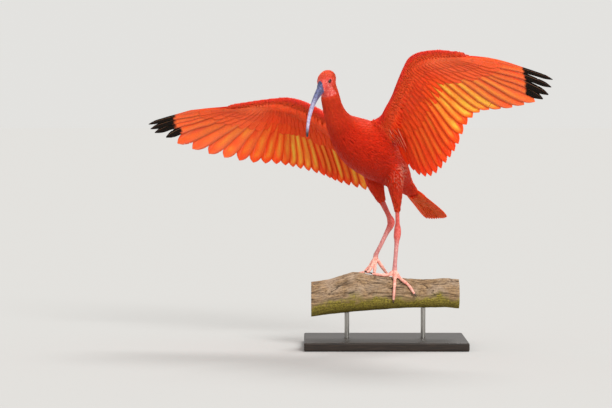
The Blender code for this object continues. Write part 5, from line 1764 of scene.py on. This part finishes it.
def leg_finish():
    """Scaly leg skin, keratin over flesh, dry, with an IOR of 1.5: mauve-pink shank, red ankle, and toes
    painted paler as a painted highlight.
    """
    finish, tree = new_finish("leg_skin", {"Roughness": 0.42, "IOR": 1.5, "Specular IOR Level": 0.4})
    place = add(tree, "TexCoord", out=3)
    seam, down = (add(tree, "Attribute", out=2, attribute_name=name) for name in ("Seam", "Down"))
    cloud = add(tree, "TexNoise", {"Vector": place, "Scale": 240.0, "Detail": 4.0})
    fine = add(tree, "TexNoise", {"Vector": place, "Scale": 1500.0, "Detail": 3.0})
    patchy = add(tree, "MapRange", {0: cloud, 1: 0.36, 2: 0.64})
    ankle, shank, foot = (
        add(tree, "Mix", {0: patchy, 6: dark, 7: light}, 2, data_type="RGBA")
        for dark, light in (("CC4A42", "E06A5E"), ("BE7474", "DC9C94"), ("EA9080", "FBC8B4"))
    )
    lower = add(tree, "MapRange", {0: down, 1: 0.44, 2: 0.60})
    skin = add(tree, "Mix", {0: lower, 6: ankle, 7: shank}, 2, data_type="RGBA")
    # Painted highlight: the toes are painted paler than their own pink, as if sunlit.
    toes = add(tree, "MapRange", {0: down, 1: 0.93, 2: 1.10})
    skin = add(tree, "Mix", {0: toes, 6: skin, 7: foot}, 2, data_type="RGBA")
    lines = add(tree, "Math", {0: seam, 1: 0.6}, operation="MULTIPLY")
    skin = add(tree, "Mix", {0: lines, 6: skin, 7: "B4403C"}, 2, data_type="RGBA")
    bump = add(tree, "Bump", {"Strength": 0.25, "Distance": 0.0003, "Height": fine})
    return surfaced(finish, skin, bump)


def claw_finish():
    """Claw horn, keratin of IOR 1.54: dark brown, paler at the root, a little glossy."""
    finish, tree = new_finish("claw_horn", {"Roughness": 0.35, "IOR": 1.54})
    along = add(tree, "Attribute", out=2, attribute_name="Along")
    place = add(tree, "TexCoord", out=3)
    cloud = add(tree, "TexNoise", {"Vector": place, "Scale": 700.0, "Detail": 3.0})
    root = add(tree, "MapRange", {0: along, 1: 0.05, 2: 0.45, 3: 0.8, 4: 0.0})
    horn = add(tree, "Mix", {0: cloud, 6: "1E1512", 7: "4A362E"}, 2, data_type="RGBA")
    horn = add(tree, "Mix", {0: root, 6: horn, 7: "8A5850"}, 2, data_type="RGBA")
    bump = add(tree, "Bump", {"Strength": 0.2, "Distance": 0.0002, "Height": cloud})
    return surfaced(finish, horn, bump)


def eye_finish():
    """Glass eye, polished soda glass of IOR 1.52: black pupil, dark brown iris in fine rays, darker rim."""
    finish, tree = new_finish("glass_eye", {"Roughness": 0.08, "IOR": 1.52, "Specular IOR Level": 0.4})
    ring = add(tree, "Attribute", out=2, attribute_name="Ring")
    place = add(tree, "TexCoord", out=3)
    rays = add(tree, "TexNoise", {"Vector": place, "Scale": 1800.0, "Detail": 2.0})
    iris = add(tree, "Mix", {0: rays, 6: "22100A", 7: "5A2E1C"}, 2, data_type="RGBA")
    pupil = add(tree, "MapRange", {0: ring, 1: 0.40, 2: 0.45})
    eye = add(tree, "Mix", {0: pupil, 6: "020202", 7: iris}, 2, data_type="RGBA")
    rim = add(tree, "MapRange", {0: ring, 1: 0.78, 2: 0.95})
    eye = add(tree, "Mix", {0: rim, 6: eye, 7: "0C0706"}, 2, data_type="RGBA")
    return surfaced(finish, eye)


def wood_finish():
    """Bare weathered branch wood: brown-grey fibres, dark cracks, yellow-green moss below, rings at its cuts.

    The fibres are drawn about 1 mm apart, coarser than real ones, so that they show.
    """
    finish, tree = new_finish("weathered_branch", {"Roughness": 0.85, "Specular IOR Level": 0.3})
    place = add(tree, "TexCoord", out=3)
    grain = add(tree, "Attribute", out=1, attribute_name="Grain")
    under, cut, crack = (
        add(tree, "Attribute", out=2, attribute_name=name) for name in ("Under", "Cut", "Crack")
    )
    lengthwise = add(tree, "Mapping", {"Vector": grain, "Scale": (7.0, 100.0, 100.0)})
    fibre = add(tree, "TexNoise", {"Vector": lengthwise, "Scale": 1.0, "Detail": 6.0, "Roughness": 0.7})
    blot = add(tree, "TexNoise", {"Vector": place, "Scale": 34.0, "Detail": 6.0, "Roughness": 0.6})
    speck = add(tree, "TexNoise", {"Vector": place, "Scale": 320.0, "Detail": 5.0, "Roughness": 0.7})
    fibres = add(tree, "MapRange", {0: fibre, 1: 0.34, 2: 0.66})
    wood = add(tree, "Mix", {0: fibres, 6: "5C4230", 7: "D0AC80"}, 2, data_type="RGBA")
    bleached = add(tree, "MapRange", {0: blot, 1: 0.42, 2: 0.60, 3: 0.0, 4: 0.75})
    wood = add(tree, "Mix", {0: bleached, 6: wood, 7: "B8A088"}, 2, data_type="RGBA")
    grey = add(tree, "MapRange", {0: speck, 1: 0.44, 2: 0.70, 3: 0.0, 4: 0.55})
    wood = add(tree, "Mix", {0: grey, 6: wood, 7: "4A382C"}, 2, data_type="RGBA")
    low = add(tree, "Math", {0: under, 1: 0.55, 2: blot}, operation="MULTIPLY_ADD")
    green = add(tree, "MapRange", {0: speck, 1: 0.38, 2: 0.62})
    moss = add(tree, "Mix", {0: green, 6: "5E521A", 7: "A69636"}, 2, data_type="RGBA")
    mossy = add(tree, "MapRange", {0: low, 1: 0.54, 2: 0.76, 3: 0.0, 4: 0.94})
    side = add(tree, "Mix", {0: mossy, 6: wood, 7: moss}, 2, data_type="RGBA")
    dark = add(tree, "Math", {0: crack, 1: 0.92}, operation="MULTIPLY")
    side = add(tree, "Mix", {0: dark, 6: side, 7: "241A14"}, 2, data_type="RGBA")
    heart = add(tree, "Mapping", {"Vector": grain, "Location": (-0.5, -1.62, 0.0)})
    waves = {"Vector": heart, "Scale": 9.0, "Distortion": 1.6, "Detail": 2.0, "Detail Scale": 1.5}
    rings = add(tree, "TexWave", waves, out=1, wave_type="RINGS", rings_direction="Z")
    sawn = add(tree, "Mix", {0: rings, 6: "8C6B46", 7: "C9A877"}, 2, data_type="RGBA")
    aged = add(tree, "MapRange", {0: blot, 1: 0.35, 2: 0.65, 3: 0.0, 4: 0.6})
    sawn = add(tree, "Mix", {0: aged, 6: sawn, 7: "8A7A68"}, 2, data_type="RGBA")
    whole = add(tree, "Mix", {0: cut, 6: side, 7: sawn}, 2, data_type="RGBA")
    bump = add(tree, "Bump", {"Strength": 0.7, "Distance": 0.0012, "Height": fibre})
    bump = add(tree, "Bump", {"Strength": 0.5, "Distance": 0.0008, "Height": speck, "Normal": bump})
    return surfaced(finish, whole, bump)


def stand_finish():
    """Display base, hardwood stained black and oiled to a satin: faint open grain, pores 1 mm apart."""
    finish, tree = new_finish("stained_hardwood", {"Roughness": 0.45, "Specular IOR Level": 0.3})
    place = add(tree, "TexCoord", out=3)
    turned = add(tree, "Mapping", {"Vector": place, "Rotation": (0.0, 0.0, -BRANCH_TURN)})
    drawn = add(tree, "Mapping", {"Vector": turned, "Scale": (25.0, 900.0, 900.0)})
    grain = add(tree, "TexNoise", {"Vector": drawn, "Scale": 1.0, "Detail": 4.0})
    pores = add(tree, "MapRange", {0: grain, 1: 0.40, 2: 0.66})
    wood = add(tree, "Mix", {0: pores, 6: "17120F", 7: "3A2D24"}, 2, data_type="RGBA")
    bump = add(tree, "Bump", {"Strength": 0.15, "Distance": 0.0003, "Height": grain})
    return surfaced(finish, wood, bump)


def rod_finish():
    """Stainless steel rod, drawn and brushed lengthwise: soft streaks about 1 mm apart."""
    finish, tree = new_finish("brushed_steel", {"Roughness": 0.32, "Metallic": 1.0})
    place = add(tree, "TexCoord", out=3)
    drawn = add(tree, "Mapping", {"Vector": place, "Scale": (900.0, 900.0, 30.0)})
    grain = add(tree, "TexNoise", {"Vector": drawn, "Scale": 1.0, "Detail": 3.0})
    brushed = add(tree, "MapRange", {0: grain, 1: 0.3, 2: 0.7})
    steel = add(tree, "Mix", {0: brushed, 6: "8C8A86", 7: "B9B6B0"}, 2, data_type="RGBA")
    bump = add(tree, "Bump", {"Strength": 0.08, "Distance": 0.0001, "Height": grain})
    return surfaced(finish, steel, bump)


def dress(node, finish):
    """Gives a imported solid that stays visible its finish."""
    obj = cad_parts[node]
    for slot in obj.material_slots:
        slot.material = finish
    if not obj.material_slots:
        obj.data.materials.append(finish)


# Light, floor and camera

FLOOR_RADIUS = 150.0
FAR = 400.0  # how far the camera sees
# Suns: how far to the camera's right, towards it and up their light comes from, strength, and
# softness in degrees.
SUNS = [("key", 0.45, 0.95, 0.60, 2.4, 22.0), ("rim", 0.30, -0.70, 0.90, 1.5, 20.0)]
# The floor's paper is as bright in this light as the sky behind it, so that no horizon shows.
PAPER_GREY, SKY_GREY, SKY_STRENGTH = "BDBCBA", "EEEDEA", 0.90


def place_in_scene(name, data, location, away):
    """A lamp or camera whose back points away."""
    obj = bpy.data.objects.new(name, data)
    obj.location = location
    obj.rotation_euler = away.to_track_quat("Z", "Y").to_euler()
    bpy.context.scene.collection.objects.link(obj)
    return obj


def studio():
    bpy.ops.mesh.primitive_circle_add(vertices=128, radius=FLOOR_RADIUS, fill_type="NGON")
    floor = bpy.context.object
    floor.name = "studio_floor"
    paper, _ = new_finish("studio_paper", {
        "Base Color": paint(PAPER_GREY), "Roughness": 0.95, "Specular IOR Level": 0.0,
    })
    floor.data.materials.append(paper)
    world = bpy.data.worlds.new("studio")
    bpy.context.scene.world = world
    world.use_nodes = True
    sky = world.node_tree.nodes["Background"].inputs
    sky["Color"].default_value = paint(SKY_GREY)
    sky["Strength"].default_value = SKY_STRENGTH
    right = Vector((math.cos(CAMERA_TURN), math.sin(CAMERA_TURN), 0.0))
    back = Vector((math.sin(CAMERA_TURN), -math.cos(CAMERA_TURN), 0.0))
    for name, aside, ahead, high, strength, soft in SUNS:
        sun = bpy.data.lights.new(name, "SUN")
        sun.energy = strength
        sun.angle = math.radians(soft)
        away = right * aside + back * ahead + Vector((0.0, 0.0, high))
        place_in_scene(name, sun, away * 2, away)


def photo_camera():
    level = math.cos(CAMERA_RISE)
    back = Vector((math.sin(CAMERA_TURN) * level, -math.cos(CAMERA_TURN) * level, math.sin(CAMERA_RISE)))
    lens = bpy.data.cameras.new("camera")
    lens.lens = CAMERA_LENS
    lens.clip_end = FAR
    bpy.context.scene.camera = place_in_scene("camera", lens, CAMERA_AIM + back * CAMERA_DISTANCE, back)
    bpy.context.scene.view_settings.view_transform = "Standard"


# The whole bird

VANE_FINISH = feather_finish("flight_vane", 1.3, 0.16)
COAT_FINISH = feather_finish("contour_feather", 0.8, 0.12)
SKIN_FINISH = skin_finish()
BILL_FINISH, LEG_FINISH, CLAW_FINISH = bill_finish(), leg_finish(), claw_finish()
EYE_FINISH, WOOD_FINISH = eye_finish(), wood_finish()

feathered = tracts()
skin = build_skin(feathered)
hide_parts("torso", "neck", "head", "thigh_left", "thigh_right")
coats = small_feathers(feathered, skin)
left_flights = wing_flights(LEFT_WING, "flights_left")
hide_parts("wing_left")
right_flights = wing_flights(RIGHT_WING, "flights_right")
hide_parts("wing_right")
tail = tail_feathers()
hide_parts("tail")
vanes = [left_flights, right_flights, tail]
vanes += [wing_coverts(LEFT_WING, "coverts_left"), wing_coverts(RIGHT_WING, "coverts_right")]
horn = [build_bill(True), build_bill(False), build_eye(1), build_eye(-1)]
legs = build_leg("left", LEFT_SHANK, LEFT_JOINT, LEFT_TOES)
legs += build_leg("right", RIGHT_SHANK, RIGHT_JOINT, RIGHT_TOES)
for piece in [skin, *coats, *vanes, *horn, *legs, build_branch()]:
    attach(piece, "root")
dress("stand_base", stand_finish())
steel = rod_finish()
for rod in ("stand_rod_1", "stand_rod_2"):
    dress(rod, steel)

studio()
photo_camera()
